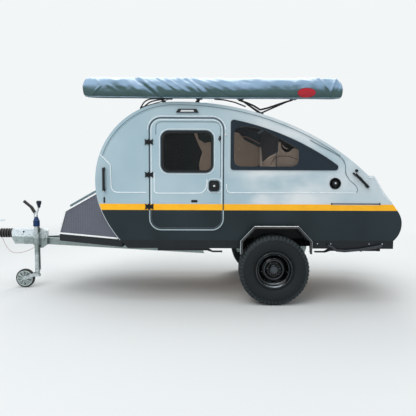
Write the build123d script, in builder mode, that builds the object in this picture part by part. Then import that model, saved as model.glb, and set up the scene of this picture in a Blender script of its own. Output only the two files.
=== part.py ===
"""Teardrop camping trailer, standing level on its two road wheels and its jockey wheel.

Frame: millimetres, +Z up from the ground, -X towards the coupling, -Y towards the kerb side,
which carries the awning. The origin is on the ground below the middle of the whole length.
"""
from build123d import *
import os
from math import asin, atan2, cos, degrees, pi, radians, sin, sqrt, tan

os.makedirs("parts", exist_ok=True)

# Driving dimensions: body
seat_gap = 0.3
half_width = 860.0
wall = 30.0
body_bottom_z = 708.0
panel_gap = 7.0
rim_width = 45.0
recess_depth = 5.0
nose_foot_x = -520.0
nose_foot_z = 612.0
nose_heading = 136.2
# Skin of the side view, from the foot of the nose over the roof to the tail: radius, turn in degrees
skin_arcs = (
    (1265.0, 21.7),
    (855.0, 85.9),
    (840.0, 26.5),
    (3095.0, 33.3),
    (2565.0, 24.1),
    (240.0, 84.1),
)
hatch_x = 1440.0
hatch_foot_z = 1047.0
# Ledge over the tail: where it leaves the skin, where it turns down, and where it meets the skin again
ledge_front_x = 2070.0
ledge_rear_x = 2167.0
ledge_top_z = 1423.0
ledge_foot_x = 2350.0
ledge_foot_z = 1122.0
ledge_corner = 30.0
outer_margin = 52.0
bulkhead_x = 1380.0
board = 18.0
floor_thickness = 30.0

# Driving dimensions: openings in the sides
door_front_x = -280.0
door_rear_x = 525.0
door_bottom_z = 823.0
door_top_z = 2037.0
door_corner = 125.0
door_field_margin = 30.0
door_window_front_x = -154.0
door_window_rear_x = 413.0
door_window_bottom_z = 1449.0
door_window_top_z = 1902.0
door_window_corner = 87.0
side_window_front_x = 600.0
side_window_bottom_z = 1479.0
side_window_inset = 132.0
side_window_corner = 34.0
window_lip = 12.0
window_frame_width = 26.0
window_frame_proud = 5.0
pane_thickness = 6.0
field_bottom_z = 1232.0
field_corner = 78.0
field_neck_low_z = 1529.0
field_neck_high_z = 1615.0
field_neck_radius = 40.0
field_neck_run = 80.0
field_front_x = -697.0
field_rear_x = 1914.0

# Driving dimensions: running gear
axle_x = 1085.0
wheel_radius = 385.0
track = 1676.0
tyre_width = 245.0
tread_width = 206.0
bead_radius = 194.0
flange_radius = 210.0
rim_width_inside = 152.0
tyre_clearance = 30.5
drum_inner = 114.0
drum_gap = 8.0
stub_short = 32.0
arch_half_top = 238.0
arch_half_bottom = 384.0
arch_top_z = 874.0
arch_shoulder_z = 717.0
arch_foot_z = 577.0
arch_x = 1098.0
flare_reach = 110.0
flare_sheet = 5.0
flare_lip = 22.0

# Driving dimensions: chassis
sill_bottom_z = 619.0
sill_depth = 44.0
sill_sheet = 5.0
rail_y = 600.0
rail_width = 50.0
rail_height = 53.0
rail_sheet = 4.0
member_width = 40.0
member_height = body_bottom_z - sill_bottom_z - rail_height
member_reach = half_width - sill_depth
short_reach = rail_y + 40.0
# Cross members: place along the trailer, reach to each side, 1 where a corner steady hangs from it
members = (
    (-520.0, member_reach, 0),
    (-180.0, member_reach, 1),
    (260.0, member_reach, 0),
    (700.0, member_reach, 0),
    (axle_x, short_reach, 0),
    (1470.0, member_reach, 0),
    (1860.0, member_reach, 0),
    (2253.0, member_reach, 1),
)
drawbar_height = 82.0
drawbar_width = 40.0
drawbar_sheet = 5.0
drawbar_front_x = -1960.0
drawbar_bend_x = -1690.0
drawbar_end_x = 318.0
drawbar_end_y = 710.0
spring_reach = 370.0
spring_drop = 104.0
leaf_thickness = 9.0
leaf_width = 48.0
leaf_halves = (370.0, 270.0, 170.0)
eye_radius = 19.0
pin_radius = 9.0
pin_clearance = 0.3
axle_side = 50.0

# Driving dimensions: coupling and jockey wheel
housing_half_width = 60.0
coupling_z = 664.0
lamp_proud = 18.0
ball_radius = 25.5
head_radius = 42.0
jockey_x = -1776.0
jockey_y = -160.0
jockey_tube_radius = 30.0
jockey_inner_radius = 24.0
jockey_wheel_radius = 116.0
jockey_wheel_width = 50.0
jockey_trail = 154.0

# Driving dimensions: front box
box_front_x = -1432.0
box_front_half = 350.0
box_rear_x = -592.0
box_rear_half = 800.0
box_sheet = 6.0
box_top_front_x = -1339.0
box_top_front_z = 984.0
box_tray_top_z = 707.0
box_slope = 27.7
box_gap = 6.0
lid_rise = 42.0

# Driving dimensions: corner steadies
steady_length = 700.0
steady_width = 56.0
steady_depth = 34.0
steady_y = 778.0
steady_pivot_z = 600.0
ear_sheet = 5.0
ear_gap = 1.5


def side_plane(y):
    """Upright plane along the trailer at one place across it; sketches read X and Z."""
    return Plane.XZ.offset(-y)


def body_outline(inset):
    """Side outline of the body, parallel to its skin at an inset, closed well below the floor."""
    heading = radians(nose_heading)
    start = Vector(nose_foot_x + inset * sin(heading), nose_foot_z - inset * cos(heading))
    with BuildSketch() as outline:
        with BuildLine():
            point = start
            direction = Vector(cos(heading), sin(heading))
            for radius, turn in skin_arcs:
                arc = JernArc(start=point, tangent=direction, radius=radius - inset, arc_size=-turn)
                point = arc @ 1
                direction = arc % 1
            foot = Line(point, (point.X, nose_foot_z - wall))
            Line(foot @ 1, start)
        make_face()
    return outline.sketch


def tail_ledge(inset):
    """Side view of the moulded ledge across the tail, from inside the skin, inset from its outer faces."""
    with BuildSketch() as shape:
        with BuildLine():
            Polyline(
                (ledge_front_x + inset, ledge_top_z - inset),
                (ledge_rear_x - inset * 0.7, ledge_top_z - inset),
                (ledge_foot_x - inset, ledge_foot_z),
                (ledge_front_x + inset, ledge_foot_z),
                close=True,
            )
        make_face()
        corner = shape.vertices().group_by(Axis.Y)[-1].sort_by(Axis.X)[-1]
        fillet(corner, ledge_corner)
    return shape.sketch


def box_shape(x0, x1, z0, z1, corner=0.0):
    """Rectangle of a side view between two places along and two heights, with rounded corners."""
    with BuildSketch() as shape:
        with Locations(((x0 + x1) / 2, (z0 + z1) / 2)):
            if corner > 0:
                RectangleRounded(x1 - x0, z1 - z0, corner)
            else:
                Rectangle(x1 - x0, z1 - z0)
    return shape.sketch


def skin_at(x):
    """Height of the upper skin, and its slope in degrees, at a place along the trailer."""
    heading = nose_heading
    px = nose_foot_x
    pz = nose_foot_z
    for radius, turn in skin_arcs:
        cx = px + radius * sin(radians(heading))
        cz = pz - radius * cos(radians(heading))
        heading = heading - turn
        px = cx - radius * sin(radians(heading))
        pz = cz + radius * cos(radians(heading))
        if x <= px:
            slope = asin((cx - x) / radius)
            return cz + radius * cos(slope), degrees(slope)
    return pz, heading


def arch_shape(inset):
    """Wheel arch: upright legs, slanted shoulders and a flat top, inset all round."""
    with BuildSketch() as shape:
        with BuildLine():
            Polyline(
                (arch_x - arch_half_bottom + inset, arch_foot_z),
                (arch_x - arch_half_bottom + inset, arch_shoulder_z - inset * 0.4),
                (arch_x - arch_half_top + inset * 0.4, arch_top_z - inset),
                (arch_x + arch_half_top - inset * 0.4, arch_top_z - inset),
                (arch_x + arch_half_bottom - inset, arch_shoulder_z - inset * 0.4),
                (arch_x + arch_half_bottom - inset, arch_foot_z),
                close=True,
            )
        make_face()
    return shape.sketch


def write_pair(left, name):
    """Label and write a left-hand piece and its mirror image on the right."""
    left.part.label = f"{name}_left"
    export_step(left.part, f"parts/{name}_left.step")
    with BuildPart() as right:
        mirror(left.part, about=Plane.XZ)
    right.part.label = f"{name}_right"
    export_step(right.part, f"parts/{name}_right.step")


def write_both(left, name):
    """Write a left-hand piece and its mirror image on the right as one piece of two halves."""
    with BuildPart() as both:
        add(left.part)
        mirror(left.part, about=Plane.XZ)
    both.part.label = name
    export_step(both.part, f"parts/{name}.step")


# Shapes of the side view that several pieces share
tail_x = body_outline(-lamp_proud).bounding_box().max.X
nose_x = -tail_x
x_low = nose_x
x_high = tail_x + outer_margin
z_high = 2652.0
above_floor = box_shape(x_low, x_high, body_bottom_z, z_high)
door_shape = box_shape(door_front_x, door_rear_x, door_bottom_z, door_top_z, door_corner)
door_opening = box_shape(
    door_front_x - panel_gap,
    door_rear_x + panel_gap,
    door_bottom_z - panel_gap,
    door_top_z + panel_gap,
    door_corner + panel_gap,
)
door_border = box_shape(
    door_front_x - door_field_margin,
    door_rear_x + door_field_margin,
    door_bottom_z - door_field_margin,
    door_top_z + door_field_margin,
    door_corner + door_field_margin,
)


def door_window(inset):
    """Window of a door, inset all round."""
    return box_shape(
        door_window_front_x + inset,
        door_window_rear_x - inset,
        door_window_bottom_z + inset,
        door_window_top_z - inset,
        door_window_corner - inset,
    )


def side_window(inset):
    """Long side window under the sloping roof, parallel to the skin, inset all round."""
    with BuildSketch() as shape:
        add(body_outline(side_window_inset + inset))
        add(
            box_shape(side_window_front_x + inset, x_high, side_window_bottom_z + inset, z_high),
            mode=Mode.INTERSECT,
        )
        front = shape.vertices().filter_by_position(Axis.X, x_low, side_window_front_x + inset + 1)
        tip = shape.vertices().group_by(Axis.Y)[0].sort_by(Axis.X)[-1:]
        fillet(front + tip, side_window_corner - inset / 2)
    return shape.sketch


def recess_field():
    """Moulded panel of the side wall above the waist, with an S-shaped end at nose and tail."""
    with BuildSketch() as shape:
        with BuildLine():
            Polyline(
                (nose_x, field_neck_high_z),
                (field_front_x - field_neck_run, field_neck_high_z),
                (field_front_x - 7.0, field_neck_low_z),
                (field_front_x, field_bottom_z),
                (field_rear_x, field_bottom_z),
                (field_rear_x - field_neck_run + 13.0, field_neck_low_z - 23.0),
                (field_rear_x - field_neck_run + 1.0, field_neck_high_z - 20.0),
                (tail_x, field_neck_high_z + 130.0),
                (tail_x, z_high),
                (nose_x, z_high),
                close=True,
            )
        make_face()
        low = shape.vertices().filter_by_position(Axis.Y, field_bottom_z - 1, field_bottom_z + 1)
        fillet(low, field_corner)
        middle = shape.vertices().filter_by_position(Axis.Y, field_neck_low_z - 30, field_neck_high_z + 10)
        fillet(middle.filter_by_position(Axis.X, nose_x + 1, tail_x - 1), field_neck_radius)
        add(body_outline(rim_width), mode=Mode.INTERSECT)
        add(door_border, mode=Mode.SUBTRACT)
    return shape.sketch


# Side walls: full outline, moulded field, cut for door, window and wheel
arch_cut = arch_shape(flare_lip + flare_sheet)
with BuildPart() as side_wall:
    with BuildSketch(side_plane(-half_width + wall)):
        add(body_outline(0))
        add(tail_ledge(0))
        add(above_floor, mode=Mode.INTERSECT)
        add(door_opening, mode=Mode.SUBTRACT)
        add(side_window(window_lip), mode=Mode.SUBTRACT)
        add(arch_cut, mode=Mode.SUBTRACT)
    extrude(amount=wall)
    with BuildSketch(side_plane(-half_width)):
        add(recess_field())
    extrude(amount=-recess_depth, mode=Mode.SUBTRACT)
    with BuildSketch(side_plane(-half_width)):
        add(side_window(-2.0))
    extrude(amount=-recess_depth, mode=Mode.SUBTRACT)
write_pair(side_wall, "side_wall")

# Tailgate hinge: a knuckle on the seam and a leaf on the skin at each side of it
inner_half = half_width - wall
seam_x = hatch_x + panel_gap / 2
seam_z, seam_slope = skin_at(seam_x)
knuckle_radius = 7.0
knuckle_lift = 8.0
knuckle_z = seam_z + knuckle_lift
leaf_reach = 38.0
leaf_sheet = 4.0
knuckle_length = 220.0
knuckle_clearance = 0.5
knuckle_pitch = knuckle_length + knuckle_clearance
roof_knuckles = (-2 * knuckle_pitch, 0.0, 2 * knuckle_pitch)
gate_knuckles = (-knuckle_pitch, knuckle_pitch)


def seam_hinge(run):
    """Side view of one half of the tailgate's hinge: a leaf on the skin, forwards or rearwards."""
    slope = radians(seam_slope)
    with BuildSketch() as shape:
        with Locations((seam_x, knuckle_z)):
            Circle(knuckle_radius)
        with BuildLine():
            low = knuckle_lift + leaf_sheet
            Polyline(
                (seam_x, knuckle_z),
                (seam_x + run * leaf_reach * cos(slope), seam_z + leaf_sheet - run * leaf_reach * sin(slope)),
                (seam_x + run * leaf_reach * cos(slope), seam_z - low - run * leaf_reach * sin(slope)),
                (seam_x + run * panel_gap, seam_z - low - run * panel_gap * tan(slope)),
                (seam_x + run * panel_gap, seam_z + 1.0),
                close=True,
            )
        make_face()
        add(body_outline(wall / 2), mode=Mode.SUBTRACT)
    return shape.sketch


# Roof shell: nose and roof in one bent panel between the side walls
with BuildPart() as roof_shell:
    with BuildSketch(side_plane(inner_half)):
        add(body_outline(0))
        add(body_outline(wall), mode=Mode.SUBTRACT)
        add(box_shape(x_low, hatch_x, body_bottom_z, z_high), mode=Mode.INTERSECT)
    extrude(amount=2 * inner_half)
    for y in roof_knuckles:
        with BuildSketch(side_plane(y + knuckle_length / 2)):
            add(seam_hinge(-1))
        extrude(amount=knuckle_length)
roof_shell.part.label = "roof_shell"
export_step(roof_shell.part, "parts/roof_shell.step")

# Tail panel: the fixed lower part of the tail
with BuildPart() as tail_panel:
    with BuildSketch(side_plane(inner_half)):
        add(body_outline(0))
        add(body_outline(wall), mode=Mode.SUBTRACT)
        add(box_shape(bulkhead_x, x_high, body_bottom_z, hatch_foot_z - panel_gap), mode=Mode.INTERSECT)
    extrude(amount=2 * inner_half)
tail_panel.part.label = "tail_panel"
export_step(tail_panel.part, "parts/tail_panel.step")

# Tailgate: hinged at the roof, with the moulded ledge across it that the side walls carry on
hatch_half = inner_half - panel_gap
with BuildPart() as tailgate:
    with BuildSketch(side_plane(hatch_half)):
        add(body_outline(0))
        add(tail_ledge(0))
        add(body_outline(wall), mode=Mode.SUBTRACT)
        add(tail_ledge(wall), mode=Mode.SUBTRACT)
        add(box_shape(hatch_x + panel_gap, x_high, hatch_foot_z, z_high), mode=Mode.INTERSECT)
    extrude(amount=2 * hatch_half)
    for y in gate_knuckles:
        with BuildSketch(side_plane(y + knuckle_length / 2)):
            add(seam_hinge(1))
        extrude(amount=knuckle_length)
tailgate.part.label = "tailgate"
export_step(tailgate.part, "parts/tailgate.step")

# Floor, with a notch for each wheel box
floor_top_z = body_bottom_z + floor_thickness
box_inner_y = track / 2 - tyre_width / 2 - tyre_clearance
with BuildPart() as floor:
    with BuildSketch(side_plane(inner_half)):
        add(body_outline(wall))
        add(box_shape(x_low, x_high, body_bottom_z, floor_top_z), mode=Mode.INTERSECT)
    extrude(amount=2 * inner_half)
    for sign in (-1, 1):
        with BuildSketch(side_plane(max(sign * inner_half, sign * box_inner_y))):
            add(arch_cut)
        extrude(amount=inner_half - box_inner_y, mode=Mode.SUBTRACT)
floor.part.label = "floor"
export_step(floor.part, "parts/floor.step")

# Wheel boxes: closed tops and inner cheeks over the wheels, open to the outside
with BuildPart() as wheel_boxes:
    for sign in (-1, 1):
        with BuildSketch(side_plane(max(sign * inner_half, sign * box_inner_y))):
            add(arch_shape(flare_lip + flare_sheet))
            add(above_floor, mode=Mode.INTERSECT)
        extrude(amount=inner_half - box_inner_y)
        with BuildSketch(side_plane(max(sign * inner_half, sign * (box_inner_y + flare_sheet)))):
            add(arch_shape(flare_lip + 2 * flare_sheet))
        extrude(amount=inner_half - box_inner_y - flare_sheet, mode=Mode.SUBTRACT)
wheel_boxes.part.label = "wheel_boxes"
export_step(wheel_boxes.part, "parts/wheel_boxes.step")

# Flares: folded plates round the wheel openings with a turned-down lip
with BuildPart() as flare:
    with BuildSketch(side_plane(-half_width)):
        add(arch_shape(0))
        add(arch_shape(flare_sheet), mode=Mode.SUBTRACT)
    extrude(amount=flare_reach)
    with BuildSketch(side_plane(-half_width - flare_reach + flare_sheet)):
        add(arch_shape(0))
        add(arch_shape(flare_lip), mode=Mode.SUBTRACT)
    extrude(amount=flare_sheet)
write_both(flare, "flares")

# Bulkhead between cabin and galley
with BuildPart() as bulkhead:
    with BuildSketch(side_plane(inner_half)):
        add(body_outline(wall))
        add(box_shape(bulkhead_x, bulkhead_x + board, floor_top_z, z_high), mode=Mode.INTERSECT)
    extrude(amount=2 * inner_half)
    for sign in (-1, 1):
        with BuildSketch(side_plane(max(sign * inner_half, sign * box_inner_y))):
            add(arch_cut)
        extrude(amount=inner_half - box_inner_y, mode=Mode.SUBTRACT)
bulkhead.part.label = "bulkhead"
export_step(bulkhead.part, "parts/bulkhead.step")

# Lockers on the cabin side of the bulkhead: a shelf and a fascia under the roof
locker_front_x = 1100.0
locker_bottom_z = 1492.0
with BuildPart() as cabin_lockers:
    with BuildSketch(side_plane(inner_half)):
        add(body_outline(wall))
        add(box_shape(locker_front_x, bulkhead_x, locker_bottom_z, z_high), mode=Mode.INTERSECT)
        add(
            box_shape(locker_front_x + board, bulkhead_x, locker_bottom_z + board, z_high),
            mode=Mode.SUBTRACT,
        )
    extrude(amount=2 * inner_half)
cabin_lockers.part.label = "cabin_lockers"
export_step(cabin_lockers.part, "parts/cabin_lockers.step")

# Bed base: a full-width deck over the wheel boxes, with a riser at its front
bed_front_x = -180.0
bed_top_z = 910.0
with BuildPart() as bed_base:
    with BuildSketch(side_plane(inner_half)):
        add(box_shape(bed_front_x, bulkhead_x, bed_top_z - board, bed_top_z))
    extrude(amount=2 * inner_half)
    with BuildSketch(side_plane(inner_half)):
        add(box_shape(bed_front_x, bed_front_x + board, floor_top_z, bed_top_z))
    extrude(amount=2 * inner_half)
bed_base.part.label = "bed_base"
export_step(bed_base.part, "parts/bed_base.step")

# Mattress, a plain cushion
mattress_height = 130.0
mattress_margin = 12.0
mattress_corner = 60.0
with BuildPart() as mattress:
    with BuildSketch(Plane.XY.offset(bed_top_z + 0.3)):
        with Locations(((bed_front_x + bulkhead_x) / 2, 0)):
            RectangleRounded(
                bulkhead_x - bed_front_x - 2 * mattress_margin,
                2 * (inner_half - mattress_margin),
                mattress_corner,
            )
    extrude(amount=mattress_height)
    fillet(mattress.edges().group_by(Axis.Z)[-1], 30.0)
mattress.part.label = "mattress"
export_step(mattress.part, "parts/mattress.step")

# Galley: worktop behind the tailgate, with a sink bowl, and an open cupboard above it
worktop_top_z = hatch_foot_z - panel_gap - 6.0
worktop_thickness = 25.0
cupboard_rear_x = 1660.0
cupboard_bottom_z = 1292.0
cupboard_inset = wall + 18.0
sink_x = 1880.0
sink_y = 380.0
sink_length = 340.0
sink_width = 400.0
sink_depth = 140.0
sink_corner = 60.0
sink_sheet = 3.0
with BuildPart() as worktop:
    with BuildSketch(side_plane(inner_half)):
        add(body_outline(wall))
        add(
            box_shape(bulkhead_x + board, x_high, worktop_top_z - worktop_thickness, worktop_top_z),
            mode=Mode.INTERSECT,
        )
    extrude(amount=2 * inner_half)
    with BuildSketch(Plane.XY.offset(worktop_top_z)):
        with Locations((sink_x, sink_y)):
            RectangleRounded(sink_length, sink_width, sink_corner)
    extrude(amount=-sink_depth)
    with BuildSketch(Plane.XY.offset(worktop_top_z)):
        with Locations((sink_x, sink_y)):
            RectangleRounded(
                sink_length - 2 * sink_sheet,
                sink_width - 2 * sink_sheet,
                sink_corner - sink_sheet,
            )
    extrude(amount=sink_sheet - sink_depth, mode=Mode.SUBTRACT)
worktop.part.label = "worktop"
export_step(worktop.part, "parts/worktop.step")

with BuildPart() as galley_cupboard:
    with BuildSketch(side_plane(inner_half)):
        add(body_outline(cupboard_inset))
        add(box_shape(bulkhead_x + board, cupboard_rear_x, cupboard_bottom_z, z_high), mode=Mode.INTERSECT)
        add(body_outline(cupboard_inset + board), mode=Mode.SUBTRACT)
    extrude(amount=2 * inner_half)
    with BuildSketch(side_plane(inner_half)):
        add(box_shape(bulkhead_x + board, cupboard_rear_x, cupboard_bottom_z, cupboard_bottom_z + board))
    extrude(amount=2 * inner_half)
    for y in (-inner_half + board, -inner_half / 3, inner_half / 3, inner_half):
        with BuildSketch(side_plane(y)):
            add(body_outline(cupboard_inset))
            add(
                box_shape(bulkhead_x + board, cupboard_rear_x, cupboard_bottom_z, z_high),
                mode=Mode.INTERSECT,
            )
        extrude(amount=board)
galley_cupboard.part.label = "galley_cupboard"
export_step(galley_cupboard.part, "parts/galley_cupboard.step")

# Side windows: black frame on the skin with a sleeve through the wall, and the pane inside it
sleeve_end_y = -half_width + wall
with BuildPart() as window_frame:
    with BuildSketch(side_plane(-half_width + recess_depth)):
        add(side_window(0))
        add(side_window(window_frame_width), mode=Mode.SUBTRACT)
    extrude(amount=window_frame_proud + recess_depth)
    with BuildSketch(side_plane(sleeve_end_y)):
        add(side_window(window_lip))
        add(side_window(window_frame_width), mode=Mode.SUBTRACT)
    extrude(amount=wall)
write_both(window_frame, "window_frames")
with BuildPart() as window_pane:
    with BuildSketch(side_plane(-half_width + pane_thickness)):
        add(side_window(window_frame_width))
    extrude(amount=pane_thickness)
write_both(window_pane, "side_panes")

# Doors: panel as thick as the wall, window fittings, pane
with BuildPart() as door:
    with BuildSketch(side_plane(-half_width + wall)):
        add(door_shape)
        add(door_window(window_lip), mode=Mode.SUBTRACT)
    extrude(amount=wall)
write_pair(door, "door")

hinge_y = -half_width - 12.0
hinge_x = door_front_x - panel_gap / 2
hinge_radius = 8.0
hinge_height = 62.0
hinge_leaf = 36.0
leaf_height = 40.0
hinge_sheet = 5.0
# Door hinges: heights of their middles
hinge_heights = (1077.0, 1425.0, 1778.0)
latch_x = 424.0
latch_z = 1307.0
latch_side = 116.0
latch_depth = 20.0
with BuildPart() as door_fittings:
    with BuildSketch(side_plane(-half_width)):
        add(door_window(0))
        add(door_window(window_frame_width), mode=Mode.SUBTRACT)
    extrude(amount=window_frame_proud)
    with BuildSketch(side_plane(sleeve_end_y)):
        add(door_window(window_lip))
        add(door_window(window_frame_width), mode=Mode.SUBTRACT)
    extrude(amount=wall)
    for z in hinge_heights:
        with BuildSketch(side_plane(-half_width)):
            with Locations((hinge_x + panel_gap + hinge_leaf / 2, z)):
                RectangleRounded(hinge_leaf, leaf_height, 6.0)
        extrude(amount=hinge_sheet)
        with BuildSketch(Plane.XY.offset(z - hinge_height / 6)):
            with Locations((hinge_x, hinge_y)):
                Circle(hinge_radius)
        extrude(amount=hinge_height / 3)
        with BuildSketch(Plane.XY.offset(z - hinge_height / 6)):
            with Locations((hinge_x + panel_gap, hinge_y + 4.0)):
                Rectangle(2 * panel_gap, hinge_sheet)
        extrude(amount=hinge_height / 3)
    with BuildSketch(side_plane(-half_width)):
        with Locations((latch_x, latch_z)):
            RectangleRounded(latch_side, latch_side, 28.0)
    extrude(amount=latch_depth)
write_pair(door_fittings, "door_fittings")
with BuildPart() as door_pane:
    with BuildSketch(side_plane(-half_width + pane_thickness)):
        add(door_window(window_frame_width))
    extrude(amount=pane_thickness)
write_pair(door_pane, "door_pane")

# Wall fittings of each side: fixed hinge leaves, grab handles, round lock and awning light
handle_rise = 42.0
handle_width = 26.0
handle_gap = 28.0
lock_x = 1743.0
lock_z = 1337.0
lock_radius = 62.0
lock_rise = 9.0
light_x = 132.0
light_half_top = 98.0
light_half_bottom = 122.0
light_bottom_z = 2094.0
light_top_z = 2131.0
light_rise = 24.0
# Grab handles, upright at the nose and along the slope at the tail: lower end x, z and upper end x, z
handle_ends = ((-773.0, 1242.0, -773.0, 1505.0), (2102.0, 1293.0, 1941.0, 1451.0))
with BuildPart() as wall_fittings:
    for z in hinge_heights:
        with BuildSketch(side_plane(-half_width)):
            with Locations((hinge_x - panel_gap - hinge_leaf / 2, z)):
                RectangleRounded(hinge_leaf, leaf_height, 6.0)
        extrude(amount=hinge_sheet)
        for low in (z - hinge_height / 2, z + hinge_height / 6 + 0.5):
            with BuildSketch(Plane.XY.offset(low)):
                with Locations((hinge_x, hinge_y)):
                    Circle(hinge_radius)
                with Locations((hinge_x - panel_gap, hinge_y + 4.0)):
                    Rectangle(2 * panel_gap, hinge_sheet)
            extrude(amount=hinge_height / 3 - 0.5)
    with BuildSketch(side_plane(-half_width + recess_depth)):
        with Locations((lock_x, lock_z)):
            Circle(lock_radius)
    extrude(amount=lock_rise)
    with BuildSketch(side_plane(-half_width + recess_depth)):
        with BuildLine():
            Polyline(
                (light_x - light_half_top, light_top_z),
                (light_x + light_half_top, light_top_z),
                (light_x + light_half_bottom, light_bottom_z),
                (light_x - light_half_bottom, light_bottom_z),
                close=True,
            )
        make_face()
    extrude(amount=light_rise)
write_both(wall_fittings, "wall_fittings")

with BuildPart() as grab_handles:
    for x0, z0, x1, z1 in handle_ends:
        length = sqrt((x1 - x0) ** 2 + (z1 - z0) ** 2)
        lean = atan2(x1 - x0, z1 - z0)
        handle_plane = Plane(
            origin=((x0 + x1) / 2, -half_width, (z0 + z1) / 2),
            x_dir=(cos(lean), 0, -sin(lean)),
            z_dir=(0, -1, 0),
        )
        with BuildSketch(handle_plane):
            RectangleRounded(handle_width, length, handle_width / 2 - 1)
        extrude(amount=handle_rise)
        with BuildSketch(handle_plane):
            Rectangle(handle_width * 2, length - 3 * handle_width)
        extrude(amount=handle_gap, mode=Mode.SUBTRACT)
write_both(grab_handles, "grab_handles")

# Sills: folded channels along the foot of the body, ahead of and behind the wheels
with BuildPart() as side_sill:
    with BuildSketch(side_plane(-half_width + sill_depth)):
        add(body_outline(2.0))
        add(box_shape(x_low, x_high, sill_bottom_z, body_bottom_z), mode=Mode.INTERSECT)
        add(arch_shape(-2.0), mode=Mode.SUBTRACT)
    extrude(amount=sill_depth - 2.0)
    with BuildSketch(side_plane(-half_width + sill_depth)):
        add(body_outline(2.0 + sill_sheet))
        add(
            box_shape(x_low, x_high, sill_bottom_z + sill_sheet, body_bottom_z - sill_sheet),
            mode=Mode.INTERSECT,
        )
        add(arch_shape(-2.0 - sill_sheet), mode=Mode.SUBTRACT)
    extrude(amount=sill_depth - 2.0 - sill_sheet, mode=Mode.SUBTRACT)
write_both(side_sill, "side_sills")

# Chassis rails: hollow bars with a pair of plates and a pin for each end of the spring
rail_bottom_z = sill_bottom_z
eye_z = rail_bottom_z - 62.0
rail_front_x = -545.0
rail_rear_x = 2380.0
plate_half = 34.0
plate_sheet = 6.0
with BuildPart() as chassis_rail:
    with BuildSketch(Plane.YZ.offset(rail_front_x)):
        with Locations((-rail_y, rail_bottom_z + rail_height / 2)):
            Rectangle(rail_width, rail_height)
            Rectangle(rail_width - 2 * rail_sheet, rail_height - 2 * rail_sheet, mode=Mode.SUBTRACT)
    extrude(amount=rail_rear_x - rail_front_x)
    for x in (axle_x - spring_reach, axle_x + spring_reach):
        for offset_y in (rail_width / 2 + plate_sheet, -rail_width / 2):
            with BuildSketch(side_plane(-rail_y + offset_y)):
                with BuildLine():
                    Polyline(
                        (x - plate_half, rail_bottom_z + plate_half),
                        (x - plate_half, rail_bottom_z - 30.0),
                        (x - eye_radius, eye_z - eye_radius),
                        (x + eye_radius, eye_z - eye_radius),
                        (x + plate_half, rail_bottom_z - 30.0),
                        (x + plate_half, rail_bottom_z + plate_half),
                        close=True,
                    )
                make_face()
            extrude(amount=plate_sheet)
        with BuildSketch(side_plane(-rail_y + rail_width / 2 + plate_sheet + pin_radius)):
            with Locations((x, eye_z)):
                Circle(pin_radius)
        extrude(amount=rail_width + 2 * (plate_sheet + pin_radius))
write_pair(chassis_rail, "chassis_rail")

# Cross members on top of the rails, two of them with ears for the corner steadies
ear_inner = steady_width / 2 + ear_gap
with BuildPart() as cross_members:
    for x, reach, steady in members:
        with BuildSketch(side_plane(reach)):
            with Locations((x, body_bottom_z - member_height / 2)):
                Rectangle(member_width, member_height)
                with Locations((0, -rail_sheet)):
                    Rectangle(member_width - 2 * rail_sheet, member_height, mode=Mode.SUBTRACT)
        extrude(amount=2 * reach)
        if steady:
            for y in (-steady_y, steady_y):
                for high in (y + ear_inner + ear_sheet, y - ear_inner):
                    with BuildSketch(side_plane(high)):
                        with BuildLine():
                            Polyline(
                                (x - member_width / 2, body_bottom_z - rail_sheet),
                                (x - member_width / 2, steady_pivot_z - 16.0),
                                (x + member_width / 2, steady_pivot_z - 16.0),
                                (x + member_width / 2, body_bottom_z - rail_sheet),
                                close=True,
                            )
                        make_face()
                    extrude(amount=ear_sheet)
                with BuildSketch(side_plane(y + ear_inner + ear_sheet)):
                    with Locations((x, steady_pivot_z)):
                        Circle(pin_radius)
                extrude(amount=2 * (ear_inner + ear_sheet))
cross_members.part.label = "cross_members"
export_step(cross_members.part, "parts/cross_members.step")

# Leaf springs: a stack of arcs, longest leaf on top with an eye at each end
leaf_radius = (spring_reach**2 + spring_drop**2) / (2 * spring_drop)
leaf_centre_z = eye_z - spring_drop + leaf_radius
with BuildPart() as leaf_spring:
    for number, half in enumerate(leaf_halves):
        with BuildSketch(side_plane(-rail_y + leaf_width / 2)):
            with Locations((axle_x, leaf_centre_z)):
                Circle(leaf_radius + (number + 1) * leaf_thickness)
                Circle(leaf_radius + number * leaf_thickness, mode=Mode.SUBTRACT)
            add(
                box_shape(axle_x - half, axle_x + half, eye_z - 2 * spring_drop, eye_z + leaf_thickness),
                mode=Mode.INTERSECT,
            )
        extrude(amount=leaf_width)
    for x in (axle_x - spring_reach, axle_x + spring_reach):
        with BuildSketch(side_plane(-rail_y + leaf_width / 2)):
            with Locations((x, eye_z)):
                Circle(eye_radius)
        extrude(amount=leaf_width)
        with BuildSketch(side_plane(-rail_y + leaf_width / 2)):
            with Locations((x, eye_z)):
                Circle(pin_radius + pin_clearance)
        extrude(amount=leaf_width, mode=Mode.SUBTRACT)
write_both(leaf_spring, "leaf_springs")

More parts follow.
